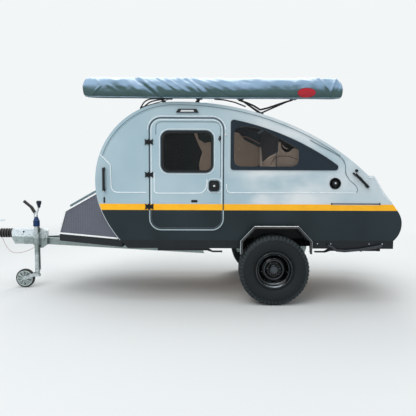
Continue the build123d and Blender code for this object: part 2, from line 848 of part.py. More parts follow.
# Axle: square beam under the springs, U-bolt blocks, backplates and stub shafts
spring_foot_z = leaf_centre_z - leaf_radius - len(leaf_halves) * leaf_thickness
beam_top_z = wheel_radius + axle_side / 2
backplate_y = track / 2 - drum_inner - drum_gap
stub_radius = 21.0
stub_end_y = track / 2 - stub_short
with BuildPart() as axle_beam:
    with BuildSketch(Plane.XZ.offset(-backplate_y)):
        with Locations((axle_x, wheel_radius)):
            Rectangle(axle_side, axle_side)
    extrude(amount=2 * backplate_y)
    for sign in (-1, 1):
        with BuildSketch(Plane.XY.offset(beam_top_z)):
            with Locations((axle_x, sign * rail_y)):
                Rectangle(90.0, leaf_width + 20.0)
        extrude(amount=spring_foot_z - 0.3 - beam_top_z)
        with BuildSketch(side_plane(max(sign * backplate_y, sign * (backplate_y - 6.0)))):
            with Locations((axle_x, wheel_radius)):
                Circle(120.0)
        extrude(amount=6.0)
        with BuildSketch(side_plane(max(sign * backplate_y, sign * stub_end_y))):
            with Locations((axle_x, wheel_radius)):
                Circle(stub_radius)
        extrude(amount=stub_end_y - backplate_y)
axle_beam.part.label = "axle_beam"
export_step(axle_beam.part, "parts/axle_beam.step")

# Road wheels: steel rim with dished disc, hub and brake drum; tyre
wheel_centre = (axle_x, -track / 2, wheel_radius)
wheel_plane = Plane(origin=wheel_centre, x_dir=(0, -1, 0), z_dir=(-1, 0, 0))
wheel_axis = Axis(wheel_centre, (0, -1, 0))
rim_half = rim_width_inside / 2
flange = 6.0
rim_sheet = 4.0
well_radius = 168.0
drum_radius = 112.0
hub_radius = 45.0
cap_end = 52.0
# Rings of a road wheel as closed profiles of (distance outwards, radius): barrel, disc, drum and hub
barrel_profile = (
    (rim_half + flange, flange_radius),
    (rim_half, flange_radius),
    (rim_half - 1.0, bead_radius - 1.0),
    (rim_half - 30.0, bead_radius - 4.0),
    (rim_half - 44.0, well_radius),
    (-rim_half + 58.0, well_radius),
    (-rim_half + 30.0, bead_radius - 4.0),
    (-rim_half + 1.0, bead_radius - 1.0),
    (-rim_half, flange_radius),
    (-rim_half - flange, flange_radius),
    (-rim_half - flange + 2.0, bead_radius - 6.0),
    (-rim_half + 28.0, bead_radius - 9.0),
    (-rim_half + 54.0, well_radius - rim_sheet),
    (rim_half - 41.0, well_radius - rim_sheet),
    (rim_half - 26.0, bead_radius - 9.0),
    (rim_half + flange - 2.0, bead_radius - 6.0),
)
disc_profile = (
    (8.0, well_radius - 1.0),
    (14.0, 152.0),
    (30.0, 128.0),
    (36.0, 116.0),
    (34.0, 104.0),
    (20.0, 90.0),
    (14.0, 78.0),
    (14.0, hub_radius - 2.0),
    (8.0, hub_radius - 2.0),
    (8.0, 80.0),
    (14.0, 93.0),
    (28.0, 106.0),
    (30.0, 115.0),
    (24.0, 126.0),
    (8.0, 149.0),
    (0.0, well_radius - 1.0),
)
hub_profile = (
    (cap_end, 0.0),
    (cap_end, 34.0),
    (cap_end - 8.0, hub_radius),
    (10.0, hub_radius),
    (8.0, drum_radius),
    (-drum_inner, drum_radius),
    (-drum_inner, drum_radius - 8.0),
    (0.0, drum_radius - 8.0),
    (0.0, hub_radius),
    (-drum_inner + 6.0, hub_radius - 8.0),
    (-drum_inner + 6.0, stub_radius + 0.5),
    (2.0 - stub_short, stub_radius + 0.5),
    (2.0 - stub_short, 0.0),
)
vent_count = 8
vent_radius = 139.0
vent_length = 44.0
vent_depth = 27.0
vent_corner = 9.0
with BuildPart() as road_wheel:
    for profile in (barrel_profile, disc_profile, hub_profile):
        with BuildSketch(wheel_plane):
            with BuildLine():
                Polyline(*profile, close=True)
            make_face()
        revolve(axis=wheel_axis)
    with BuildSketch(side_plane(-track / 2 + 4.0)):
        with Locations((axle_x, wheel_radius)):
            with PolarLocations(vent_radius, vent_count):
                RectangleRounded(vent_depth, vent_length, vent_corner)
    extrude(amount=60.0, mode=Mode.SUBTRACT)
write_pair(road_wheel, "road_wheel")

sidewall_low = bead_radius + (wheel_radius - bead_radius) * 0.36
sidewall_middle = bead_radius + (wheel_radius - bead_radius) * 0.55
sidewall_high = bead_radius + (wheel_radius - bead_radius) * 0.77
with BuildPart() as tyre:
    with BuildSketch(wheel_plane):
        with BuildLine():
            Polyline(
                (rim_half - 2.4, bead_radius),
                (rim_half - 0.4, flange_radius + 1),
                (rim_half + 12, flange_radius + 4),
                (tyre_width / 2 - 8, sidewall_low),
                (tyre_width / 2, sidewall_middle),
                (tyre_width / 2 - 5, sidewall_high),
                (tread_width / 2 + 4, wheel_radius - 12),
                (tread_width / 2 - 10, wheel_radius - 3),
                (0, wheel_radius),
                (-tread_width / 2 + 10, wheel_radius - 3),
                (-tread_width / 2 - 4, wheel_radius - 12),
                (-tyre_width / 2 + 5, sidewall_high),
                (-tyre_width / 2, sidewall_middle),
                (-tyre_width / 2 + 8, sidewall_low),
                (-rim_half - 12, flange_radius + 4),
                (-rim_half + 0.4, flange_radius + 1),
                (-rim_half + 2.4, bead_radius),
                (-rim_half + 14, bead_radius),
                (-rim_half + 4, sidewall_low - 22),
                (-tyre_width / 2 + 18, sidewall_middle),
                (-tread_width / 2 + 8, wheel_radius - 22),
                (tread_width / 2 - 8, wheel_radius - 22),
                (tyre_width / 2 - 18, sidewall_middle),
                (rim_half - 4, sidewall_low - 22),
                (rim_half - 14, bead_radius),
                close=True,
            )
        make_face()
    revolve(axis=wheel_axis)
write_pair(tyre, "tyre")


def bent_bar(points, low, high):
    """Plan shape of a bar along a bent line, between two offsets to the left of its run."""
    with BuildSketch() as plan:
        with BuildLine():
            near = []
            far = []
            for number, (x, y) in enumerate(points):
                before = points[max(number - 1, 0)]
                after = points[min(number + 1, len(points) - 1)]
                a = Vector(x - before[0], y - before[1])
                b = Vector(after[0] - x, after[1] - y)
                a = b if a.length == 0 else a
                b = a if b.length == 0 else b
                bend = a.normalized() + b.normalized()
                normal = Vector(-bend.Y, bend.X).normalized()
                mitre = 1 / normal.dot(Vector(-a.Y, a.X).normalized())
                near.append((x + normal.X * low * mitre, y + normal.Y * low * mitre))
                far.append((x + normal.X * high * mitre, y + normal.Y * high * mitre))
            Polyline(*near, *reversed(far), close=True)
        make_face()
    return plan.sketch


# Drawbar: two channels from the coupling housing, spreading under the box and the chassis
drawbar_bottom_z = sill_bottom_z - drawbar_height
bar_y = -housing_half_width - seat_gap
drawbar_line = (
    (drawbar_front_x, bar_y),
    (drawbar_bend_x, bar_y),
    (drawbar_end_x, -drawbar_end_y + drawbar_width),
)
with BuildPart() as drawbar:
    with BuildSketch(Plane.XY.offset(drawbar_bottom_z)):
        add(bent_bar(drawbar_line, -drawbar_width, 0))
    extrude(amount=drawbar_height)
    with BuildSketch(Plane.XY.offset(drawbar_bottom_z + drawbar_sheet)):
        add(bent_bar(drawbar_line, -drawbar_width + drawbar_sheet, 0))
    extrude(amount=drawbar_height - 2 * drawbar_sheet, mode=Mode.SUBTRACT)
write_pair(drawbar, "drawbar")

# Breakaway cable: hangs from a lug under the housing to a lug under the coupling head
cable_radius = 2.0
cable_route = (
    (-1824.0, -57.5, 513.0),
    (-1862.0, -57.5, 480.0),
    (-1908.0, -54.0, 453.0),
    (-1960.0, -50.0, 433.0),
    (-2014.0, -45.0, 419.0),
    (-2068.0, -39.0, 411.0),
    (-2117.0, -33.0, 413.0),
    (-2160.0, -27.0, 428.0),
    (-2196.0, -20.0, 458.0),
    (-2226.0, -13.0, 498.0),
    (-2249.0, -6.0, 540.0),
    (-2265.0, 0.0, 578.0),
    (-2276.0, 0.0, 608.0),
)
lug_half = 6.0
lug_sheet = 5.0
housing_lug_top_z = 542.0
head_lug_top_z = 642.0


def cable_lug(tip, neighbour, top_z):
    """Side view of a lug that ends square to the cable at its tip and widens up to its root."""
    run_x = tip[0] - neighbour[0]
    run_z = tip[2] - neighbour[2]
    run = sqrt(run_x**2 + run_z**2)
    across_x = lug_half * run_z / run
    across_z = lug_half * run_x / run
    root_x = tip[0] + run_x / run_z * (top_z - tip[2])
    with BuildSketch() as shape:
        with BuildLine():
            Polyline(
                (tip[0] - across_x, tip[2] + across_z),
                (tip[0] + across_x, tip[2] - across_z),
                (root_x + 2 * lug_half, top_z),
                (root_x - 2 * lug_half, top_z),
                close=True,
            )
        make_face()
    return shape.sketch


cable_radii = []
for before, corner, after in zip(cable_route, cable_route[1:], cable_route[2:]):
    run_in = Vector(*corner) - Vector(*before)
    run_out = Vector(*after) - Vector(*corner)
    turn = radians(run_in.get_angle(run_out))
    cable_radii.append(0.45 * min(run_in.length, run_out.length) / tan(turn / 2))
with BuildPart() as breakaway_cable:
    with BuildLine() as cable_line:
        FilletPolyline(*cable_route, radius=cable_radii)
    with BuildSketch(Plane(origin=cable_line.line @ 0, z_dir=cable_line.line % 0)):
        Circle(cable_radius)
    sweep()
breakaway_cable.part.label = "breakaway_cable"
export_step(breakaway_cable.part, "parts/breakaway_cable.step")
cable_length = sum(edge.length for edge in cable_line.edges())
cable_section = pi * cable_radius**2
print("cable radii mm", [round(radius) for radius in cable_radii])
print("cable length mm", round(cable_length, 1))
print("cable volume ratio", round(breakaway_cable.part.volume / (cable_length * cable_section), 4))

# Coupling housing: pressed channel, open below, with a lug for the cable
housing_points = (
    (-2128.0, 606.0),
    (-2128.0, 704.0),
    (-2110.0, 720.0),
    (-1740.0, 720.0),
    (-1697.0, 692.0),
    (-1697.0, 552.0),
    (-1730.0, 534.0),
    (-2092.0, 534.0),
)
with BuildPart() as coupling_housing:
    with BuildSketch(side_plane(housing_half_width)):
        with BuildLine():
            Polyline(*housing_points, close=True)
        make_face()
    extrude(amount=2 * housing_half_width)
    with BuildSketch(side_plane(housing_half_width - drawbar_sheet)):
        with BuildLine():
            Polyline(*housing_points, close=True)
        make_face()
        offset(amount=-drawbar_sheet, mode=Mode.REPLACE)
        add(
            box_shape(
                housing_points[7][0] + 20.0,
                housing_points[5][0] - 60.0,
                sill_bottom_z - 120.0,
                coupling_z - 12.0,
            )
        )
    extrude(amount=2 * (housing_half_width - drawbar_sheet), mode=Mode.SUBTRACT)
    with BuildSketch(side_plane(cable_route[0][1] + lug_sheet / 2)):
        add(cable_lug(cable_route[0], cable_route[1], housing_lug_top_z))
    extrude(amount=lug_sheet)
coupling_housing.part.label = "coupling_housing"
export_step(coupling_housing.part, "parts/coupling_housing.step")

# Drawshaft bellows: rings between the housing and the coupling head
bellows_front_x = -2262.0
bellows_rear_x = -2128.3
bellows_radius = 56.0
bellows_root = 44.0
bellows_folds = 7
fold = (bellows_rear_x - bellows_front_x) / bellows_folds
with BuildPart() as bellows:
    with BuildSketch(side_plane(0)):
        with BuildLine():
            points = [(bellows_front_x, coupling_z)]
            for number in range(bellows_folds):
                x = bellows_front_x + number * fold
                points.append((x, coupling_z + bellows_root))
                points.append((x + fold * 0.5, coupling_z + bellows_radius))
            points.append((bellows_rear_x, coupling_z + bellows_root))
            points.append((bellows_rear_x, coupling_z))
            Polyline(*points, close=True)
        make_face()
    revolve(axis=Axis((0, 0, coupling_z), (1, 0, 0)))
bellows.part.label = "bellows"
export_step(bellows.part, "parts/bellows.step")

# Coupling head: socket for the tow ball on a sleeve, with its hand lever on top
ball_x = nose_x + head_radius
ball_z = coupling_z - 22.0
socket_depth = 34.0
lever_rise = 176.0
with BuildPart() as coupling_head:
    with BuildSketch(Plane.YZ.offset(bellows_front_x)):
        with Locations((0, coupling_z)):
            Circle(34.0)
    extrude(amount=-110.0)
    with BuildSketch(Plane.XY.offset(ball_z - 20.0)):
        with Locations((ball_x, 0)):
            Circle(head_radius)
        with Locations((ball_x + 60.0, 0)):
            Rectangle(120.0, 64.0)
    extrude(amount=62.0, taper=6)
    with BuildSketch(Plane.XY.offset(ball_z - 20.0)):
        with Locations((ball_x, 0)):
            Circle(ball_radius)
    extrude(amount=socket_depth, mode=Mode.SUBTRACT)
    with BuildSketch(side_plane(16.0)):
        with BuildLine():
            Polyline(
                (ball_x + 10.0, coupling_z + 12.0),
                (ball_x + 30.0, coupling_z + 62.0),
                (bellows_front_x - 60.0, coupling_z + lever_rise - 4.0),
                (bellows_front_x + 24.0, coupling_z + lever_rise),
                (bellows_front_x + 24.0, coupling_z + lever_rise - 22.0),
                (bellows_front_x - 50.0, coupling_z + lever_rise - 28.0),
                (ball_x + 70.0, coupling_z + 48.0),
                (ball_x + 70.0, coupling_z + 12.0),
                close=True,
            )
        make_face()
    extrude(amount=32.0)
    with BuildSketch(side_plane(cable_route[-1][1] + lug_sheet / 2)):
        add(cable_lug(cable_route[-1], cable_route[-2], head_lug_top_z))
    extrude(amount=lug_sheet)
coupling_head.part.label = "coupling_head"
export_step(coupling_head.part, "parts/coupling_head.step")

# Handbrake lever on top of the housing: flat bar and round grip
lever_foot = (-1828.0, 720.3)
lever_foot_half = 22.0
lever_neck = (-1842.0, 926.0)
lever_elbow = (-1882.0, 997.0)
lever_tip = (-1975.0, 1074.0)
grip_radius = 17.0
with BuildPart() as handbrake_lever:
    with BuildSketch(side_plane(-22.0)):
        with BuildLine():
            Polyline(
                (lever_foot[0] - lever_foot_half, lever_foot[1]),
                (lever_neck[0] - 13.0, lever_neck[1]),
                (lever_neck[0] + 13.0, lever_neck[1] + 8.0),
                (lever_foot[0] + lever_foot_half, lever_foot[1]),
                close=True,
            )
        make_face()
    extrude(amount=14.0)
    with BuildLine() as grip_line:
        FilletPolyline(
            (lever_neck[0], -29.0, lever_neck[1] - 4.0),
            (lever_elbow[0], -29.0, lever_elbow[1]),
            (lever_tip[0], -29.0, lever_tip[1]),
            radius=60.0,
        )
    with BuildSketch(Plane(origin=grip_line.line @ 0, z_dir=grip_line.line % 0)):
        Circle(grip_radius)
    sweep()
handbrake_lever.part.label = "handbrake_lever"
export_step(handbrake_lever.part, "parts/handbrake_lever.step")

# Jockey wheel: clamp, outer tube with collar and crank, inner tube, fork, hub and tyre
clamp_low_z = 538.0
clamp_high_z = 692.0
tube_low_z = 196.0
tube_high_z = 844.0
collar_low_z = 772.0
crank_run = 36.0
crank_rise = 130.0
knob_radius = 14.0
knob_height = 72.0
bar_outer_y = bar_y - drawbar_width
clamp_thickness = 46.0
# Side view of the clamp's casting: distance behind the tube's axis, height
clamp_points = (
    (jockey_x + 30.0, 496.0),
    (jockey_x - 36.0, 560.0),
    (jockey_x - 14.0, 744.0),
    (jockey_x + 46.0, 744.0),
    (jockey_x + 106.0, 708.0),
    (jockey_x + 126.0, 643.0),
    (jockey_x + 118.0, 536.0),
    (jockey_x + 64.0, 496.0),
)
with BuildPart() as jockey_clamp:
    with BuildSketch(Plane.XY.offset(clamp_low_z)):
        with Locations((jockey_x, jockey_y)):
            Circle(jockey_tube_radius + 13.0)
    extrude(amount=clamp_high_z - clamp_low_z)
    with BuildSketch(side_plane(bar_outer_y - seat_gap)):
        with BuildLine():
            Polyline(*clamp_points, close=True)
        make_face()
    extrude(amount=clamp_thickness)
    with BuildSketch(Plane.XY.offset(clamp_points[0][1])):
        with Locations((jockey_x, jockey_y)):
            Circle(jockey_tube_radius + 0.1)
    extrude(amount=clamp_points[2][1] - clamp_points[0][1], mode=Mode.SUBTRACT)
    with BuildSketch(Plane.XY.offset(drawbar_bottom_z - seat_gap)):
        add(bent_bar(drawbar_line, -drawbar_width - seat_gap, 0))
    extrude(amount=drawbar_height + 2 * seat_gap, mode=Mode.SUBTRACT)
jockey_clamp.part.label = "jockey_clamp"
export_step(jockey_clamp.part, "parts/jockey_clamp.step")

with BuildPart() as jockey_outer_tube:
    with BuildSketch(Plane.XY.offset(tube_low_z)):
        with Locations((jockey_x, jockey_y)):
            Circle(jockey_tube_radius)
            Circle(jockey_inner_radius + 1.0, mode=Mode.SUBTRACT)
    extrude(amount=collar_low_z - tube_low_z)
    with BuildSketch(Plane.XY.offset(collar_low_z)):
        with Locations((jockey_x, jockey_y)):
            Circle(jockey_tube_radius + 8.0)
    extrude(amount=tube_high_z - collar_low_z)
    with BuildSketch(Plane.XY.offset(tube_high_z)):
        with Locations((jockey_x, jockey_y)):
            Circle(jockey_tube_radius)
    extrude(amount=44.0, taper=18)
    crank_foot_z = tube_high_z + 44.0
    crank_plane = Plane(
        origin=(jockey_x, jockey_y, crank_foot_z - 6.0), x_dir=(0, 1, 0), z_dir=(crank_run, 0, crank_rise)
    )
    with BuildSketch(crank_plane):
        Rectangle(20.0, 10.0)
    extrude(amount=sqrt(crank_run**2 + crank_rise**2))
    with BuildSketch(Plane.XY.offset(crank_foot_z + crank_rise - 16.0)):
        with Locations((jockey_x + crank_run, jockey_y)):
            Circle(knob_radius)
    extrude(amount=knob_height, taper=-8)
jockey_outer_tube.part.label = "jockey_outer_tube"
export_step(jockey_outer_tube.part, "parts/jockey_outer_tube.step")

with BuildPart() as jockey_inner_tube:
    with BuildSketch(Plane.XY.offset(tube_low_z - 24.0)):
        with Locations((jockey_x, jockey_y)):
            Circle(jockey_inner_radius)
    extrude(amount=collar_low_z - 10.0 - tube_low_z + 24.0)
jockey_inner_tube.part.label = "jockey_inner_tube"
export_step(jockey_inner_tube.part, "parts/jockey_inner_tube.step")

jockey_axle_x = jockey_x - jockey_trail
fork_top_z = tube_low_z - 24.3
fork_low_z = fork_top_z - 30.0
fork_inner = jockey_wheel_width / 2 + 6.0
with BuildPart() as jockey_fork:
    with BuildSketch(Plane.XY.offset(fork_low_z)):
        with Locations((jockey_x, jockey_y)):
            Circle(jockey_tube_radius + 6.0)
    extrude(amount=fork_top_z - fork_low_z)
    for high in (jockey_y + fork_inner + 5.0, jockey_y - fork_inner):
        with BuildSketch(side_plane(high)):
            with BuildLine():
                Polyline(
                    (jockey_x + 24.0, fork_low_z),
                    (jockey_x + 24.0, fork_top_z),
                    (jockey_x - 40.0, fork_top_z + 14.0),
                    (jockey_axle_x - 8.0, jockey_wheel_radius + 20.0),
                    (jockey_axle_x - 22.0, jockey_wheel_radius - 8.0),
                    (jockey_axle_x + 6.0, jockey_wheel_radius - 20.0),
                    (jockey_x - 36.0, fork_low_z),
                    close=True,
                )
            make_face()
        extrude(amount=5.0)
    with BuildSketch(side_plane(jockey_y + fork_inner + 10.0)):
        with Locations((jockey_axle_x, jockey_wheel_radius)):
            Circle(8.0)
    extrude(amount=2 * (fork_inner + 10.0))
jockey_fork.part.label = "jockey_fork"
export_step(jockey_fork.part, "parts/jockey_fork.step")

jockey_hub_radius = 96.0
with BuildPart() as jockey_hub:
    with BuildSketch(side_plane(jockey_y + jockey_wheel_width / 2)):
        with Locations((jockey_axle_x, jockey_wheel_radius)):
            Circle(jockey_hub_radius)
            Circle(8.0 + pin_clearance, mode=Mode.SUBTRACT)
    extrude(amount=jockey_wheel_width)
jockey_hub.part.label = "jockey_hub"
export_step(jockey_hub.part, "parts/jockey_hub.step")

with BuildPart() as jockey_tyre:
    with BuildSketch(side_plane(jockey_y + jockey_wheel_width / 2 - 2.0)):
        with Locations((jockey_axle_x, jockey_wheel_radius)):
            Circle(jockey_wheel_radius)
            Circle(jockey_hub_radius, mode=Mode.SUBTRACT)
    extrude(amount=jockey_wheel_width - 4.0)
    fillet(jockey_tyre.edges().filter_by(GeomType.CIRCLE).sort_by(SortBy.RADIUS)[-2:], 12.0)
jockey_tyre.part.label = "jockey_tyre"
export_step(jockey_tyre.part, "parts/jockey_tyre.step")

# Front box: tray on the drawbar, tapered walls behind it, raised lid
box_rear_wall_inset = -box_gap


def box_plan(inset):
    """Plan of the front box, narrow at the coupling end, inset all round."""
    taper = atan2(box_rear_half - box_front_half, box_rear_x - box_front_x)
    side = inset / cos(taper)
    front = box_front_x + inset
    half_at_front = box_front_half + inset * tan(taper) - side
    reach = box_rear_x + 2 * box_gap - box_front_x
    half_at_rear = box_front_half + reach * tan(taper) - side
    rear = box_front_x + reach
    with BuildSketch() as plan:
        with BuildLine():
            Polyline(
                (front, -half_at_front),
                (rear, -half_at_rear),
                (rear, half_at_rear),
                (front, half_at_front),
                close=True,
            )
        make_face()
    return plan.sketch


box_top_rear_z = box_top_front_z + (box_rear_x - box_top_front_x) * tan(radians(box_slope))
with BuildPart() as box_tray:
    with BuildSketch(Plane.XY.offset(sill_bottom_z + 0.3)):
        add(box_plan(0))
    extrude(amount=box_tray_top_z - sill_bottom_z - 0.3)
    with BuildSketch(Plane.XY.offset(sill_bottom_z + box_sheet)):
        add(box_plan(box_sheet))
    extrude(amount=box_tray_top_z - sill_bottom_z, mode=Mode.SUBTRACT)
    with BuildSketch(side_plane(half_width)):
        add(body_outline(box_rear_wall_inset))
        add(box_shape(box_rear_x, x_high, sill_bottom_z, z_high))
    extrude(amount=2 * half_width, mode=Mode.SUBTRACT)
box_tray.part.label = "box_tray"
export_step(box_tray.part, "parts/box_tray.step")


def box_side(inset, rear_inset):
    """Side view of the front box above its tray, up to the sloped top."""
    with BuildSketch() as shape:
        with BuildLine():
            Polyline(
                (box_front_x + inset, box_tray_top_z + 0.0),
                (box_top_front_x + inset, box_top_front_z - inset),
                (box_rear_x, box_top_rear_z - inset),
                (box_rear_x, box_tray_top_z),
                close=True,
            )
        make_face()
        add(body_outline(rear_inset), mode=Mode.SUBTRACT)
    return shape.sketch


lid_normal = (-sin(radians(box_slope)), 0, cos(radians(box_slope)))
lid_along = (cos(radians(box_slope)), 0, sin(radians(box_slope)))
box_top_plane = Plane(
    origin=(box_top_front_x, 0, box_top_front_z), x_dir=lid_along, z_dir=lid_normal
)
lid_length = 410.0
lid_start = 60.0


def lid_plan(inset):
    """The lid in the plane of the box's top: wider towards the body, rounded corners."""
    half_front = box_front_half + 2.0 - inset
    half_rear = half_front + lid_length * cos(radians(box_slope)) * (
        (box_rear_half - box_front_half) / (box_rear_x - box_front_x)
    )
    with BuildSketch() as plan:
        with BuildLine():
            Polyline(
                (lid_start + inset, -half_front),
                (lid_start + lid_length - inset, -half_rear),
                (lid_start + lid_length - inset, half_rear),
                (lid_start + inset, half_front),
                close=True,
            )
        make_face()
        fillet(plan.vertices(), 18.0)
    return plan.sketch


# Lid hinge: knuckles behind the lid, on its rear wall and on the box's top by turns
lid_axis_run = lid_start + lid_length + 10.0
lid_axis_rise = 14.0
lid_knuckle_radius = 7.0
lid_knuckle_length = 180.0
lid_knuckle_pitch = lid_knuckle_length + 1.0
box_knuckles = (-2 * lid_knuckle_pitch, 0.0, 2 * lid_knuckle_pitch)
lid_knuckles = (-lid_knuckle_pitch, lid_knuckle_pitch)
lid_axis = box_top_plane.from_local_coords(Vector(lid_axis_run, 0, lid_axis_rise))
print("lid hinge at", round(lid_axis.X, 2), round(lid_axis.Z, 2))
print("tailgate hinge at", seam_x, round(knuckle_z, 2))


def lid_hinge_plane(y):
    """Upright plane that reads distances along the box's sloped top and above it."""
    return Plane(origin=(box_top_front_x, y, box_top_front_z), x_dir=lid_along, z_dir=(0, -1, 0))


with BuildPart() as box_walls:
    with BuildSketch(side_plane(half_width)):
        add(box_side(0, box_rear_wall_inset))
    extrude(amount=2 * half_width)
    with BuildSketch(Plane.XY.offset(box_tray_top_z)):
        add(box_plan(0))
    extrude(amount=z_high, mode=Mode.INTERSECT)
    with BuildSketch(Plane.XY.offset(box_tray_top_z)):
        add(box_plan(box_sheet))
    solid_core = extrude(amount=z_high, mode=Mode.PRIVATE)
    with BuildSketch(side_plane(half_width)):
        add(box_side(box_sheet, box_rear_wall_inset - box_sheet))
    solid_side = extrude(amount=2 * half_width, mode=Mode.PRIVATE)
    add(solid_core & solid_side, mode=Mode.SUBTRACT)
    with BuildSketch(box_top_plane):
        add(lid_plan(25.0))
    extrude(amount=-40.0, mode=Mode.SUBTRACT)
    for y in box_knuckles:
        with BuildSketch(lid_hinge_plane(y + lid_knuckle_length / 2)):
            with Locations((lid_axis_run, lid_axis_rise)):
                Circle(lid_knuckle_radius)
            add(box_shape(lid_axis_run - 3.0, lid_axis_run + 3.0, -1.0, lid_axis_rise))
            add(box_shape(lid_axis_run - 3.0, lid_axis_run + 34.0, -1.0, 3.0))
        extrude(amount=lid_knuckle_length)
box_walls.part.label = "box_walls"
export_step(box_walls.part, "parts/box_walls.step")

lid_lift = seat_gap
with BuildPart() as box_lid:
    with BuildSketch(box_top_plane.offset(lid_lift)):
        add(lid_plan(0))
    extrude(amount=lid_rise)
    with BuildSketch(box_top_plane.offset(lid_lift)):
        add(lid_plan(5.0))
    extrude(amount=lid_rise - 5.0, mode=Mode.SUBTRACT)
    for y in lid_knuckles:
        with BuildSketch(lid_hinge_plane(y + lid_knuckle_length / 2)):
            with Locations((lid_axis_run, lid_axis_rise)):
                Circle(lid_knuckle_radius)
            add(
                box_shape(
                    lid_start + lid_length - 4.0,
                    lid_axis_run,
                    lid_axis_rise - 3.0,
                    lid_axis_rise + 3.0,
                )
            )
        extrude(amount=lid_knuckle_length)
box_lid.part.label = "box_lid"
export_step(box_lid.part, "parts/box_lid.step")

# Corner steadies: folded channel legs, open on top, with a flat foot, lying under the chassis
foot_drop = 30.0
foot_length = 110.0
steady_sheet = 4.0
steady_boss = 15.0
# Each steady: place, pivot along the trailer, direction of the leg
steadies = (("front", members[1][0], 1), ("rear", members[7][0], -1))


def steady_side(pivot_x, run, inset):
    """Side view of a steady's leg, straight from its pivot and bent down to its foot."""
    heel = pivot_x + run * (steady_length - foot_length - 60.0)
    with BuildSketch() as shape:
        with BuildLine():
            Polyline(
                (pivot_x - run * steady_boss, steady_pivot_z + steady_boss + inset),
                (heel, steady_pivot_z + steady_boss + inset),
                (pivot_x + run * (steady_length - foot_length), steady_pivot_z - foot_drop + 6.0),
                (pivot_x + run * steady_length, steady_pivot_z - foot_drop + 6.0),
                (pivot_x + run * steady_length, steady_pivot_z - foot_drop - 4.0 + inset),
                (pivot_x + run * (steady_length - foot_length), steady_pivot_z - foot_drop - 4.0 + inset),
                (heel, steady_pivot_z - steady_boss + inset),
                (pivot_x - run * steady_boss, steady_pivot_z - steady_boss + inset),
                close=True,
            )
        make_face()
    return shape.sketch


for place, pivot_x, run in steadies:
    with BuildPart() as steady:
        with BuildSketch(side_plane(-steady_y + steady_width / 2)):
            add(steady_side(pivot_x, run, 0))
        extrude(amount=steady_width)
        with BuildSketch(side_plane(-steady_y + steady_width / 2 - steady_sheet)):
            add(steady_side(pivot_x, run, steady_sheet))
        extrude(amount=steady_width - 2 * steady_sheet, mode=Mode.SUBTRACT)
        with BuildSketch(side_plane(-steady_y + steady_width / 2)):
            with Locations((pivot_x, steady_pivot_z)):
                Circle(pin_radius + pin_clearance)
        extrude(amount=steady_width, mode=Mode.SUBTRACT)
    write_pair(steady, f"steady_{place}")

# Awning: the packed bag above the roof's edge and the brackets that carry it
bag_front_x = -962.0
bag_rear_x = 1768.0
bag_bottom_z = 2238.0
bag_height = 212.0
bag_depth = 150.0
bag_y = -893.0
bag_middle_z = bag_bottom_z + bag_height / 2
with BuildPart() as awning_bag:
    with BuildSketch(Plane.YZ.offset(bag_front_x)):
        with Locations((bag_y, bag_middle_z)):
            RectangleRounded(bag_depth, bag_height, 60.0)
    extrude(amount=bag_rear_x - bag_front_x)
    fillet(awning_bag.faces().filter_by(Axis.X).edges(), 28.0)
awning_bag.part.label = "awning_bag"
export_step(awning_bag.part, "parts/awning_bag.step")

# Awning brackets: legs on the roof's edge, each with a saddle plate under the bag
# Each leg: foot and top along the trailer
bracket_legs = ((-357.0, -60.0), (-120.0, -150.0), (240.0, 260.0), (900.0, 700.0), (930.0, 1265.0))
bracket_half = 11.0
bracket_sheet = 14.0
bracket_y = -half_width + 22.0
saddle_half = 34.0
saddle_sheet = 7.0
with BuildPart() as awning_brackets:
    for foot_x, top_x in bracket_legs:
        foot_z = skin_at(foot_x)[0]
        with BuildSketch(side_plane(bracket_y)):
            with BuildLine():
                Polyline(
                    (foot_x - 2 * bracket_half, foot_z - wall),
                    (foot_x - 2 * bracket_half, foot_z + bracket_half),
                    (top_x - bracket_half, bag_bottom_z - seat_gap),
                    (top_x + bracket_half, bag_bottom_z - seat_gap),
                    (foot_x + 2 * bracket_half, foot_z + bracket_half),
                    (foot_x + 2 * bracket_half, foot_z - wall),
                    close=True,
                )
            make_face()
            add(body_outline(-seat_gap), mode=Mode.SUBTRACT)
        extrude(amount=bracket_sheet)
        with BuildSketch(side_plane(bracket_y)):
            add(
                box_shape(
                    top_x - saddle_half,
                    top_x + saddle_half,
                    bag_bottom_z - seat_gap - saddle_sheet,
                    bag_bottom_z - seat_gap,
                )
            )
        extrude(amount=bracket_y - bag_y + bag_depth / 4)
awning_brackets.part.label = "awning_brackets"
export_step(awning_brackets.part, "parts/awning_brackets.step")

# Roof vent: a neck and a mushroom cap near the crown
vent_x = 297.0
vent_neck_radius = 38.0
vent_cap_radius = 62.0
vent_height = 134.0
vent_cap_height = 46.0
vent_foot_z = skin_at(vent_x)[0]
with BuildPart() as roof_vent:
    with BuildSketch(Plane.XY.offset(vent_foot_z - wall / 2)):
        with Locations((vent_x, 0)):
            Circle(vent_neck_radius)
    extrude(amount=wall / 2 + vent_height - vent_cap_height)
    with BuildSketch(Plane.XY.offset(vent_foot_z + vent_height - vent_cap_height)):
        with Locations((vent_x, 0)):
            Circle(vent_cap_radius)
    extrude(amount=vent_cap_height)
    fillet(roof_vent.edges().filter_by(GeomType.CIRCLE).sort_by(Axis.Z)[-1], 30.0)
    with BuildSketch(side_plane(half_width)):
        add(body_outline(-0.3))
    extrude(amount=2 * half_width, mode=Mode.SUBTRACT)
roof_vent.part.label = "roof_vent"
export_step(roof_vent.part, "parts/roof_vent.step")

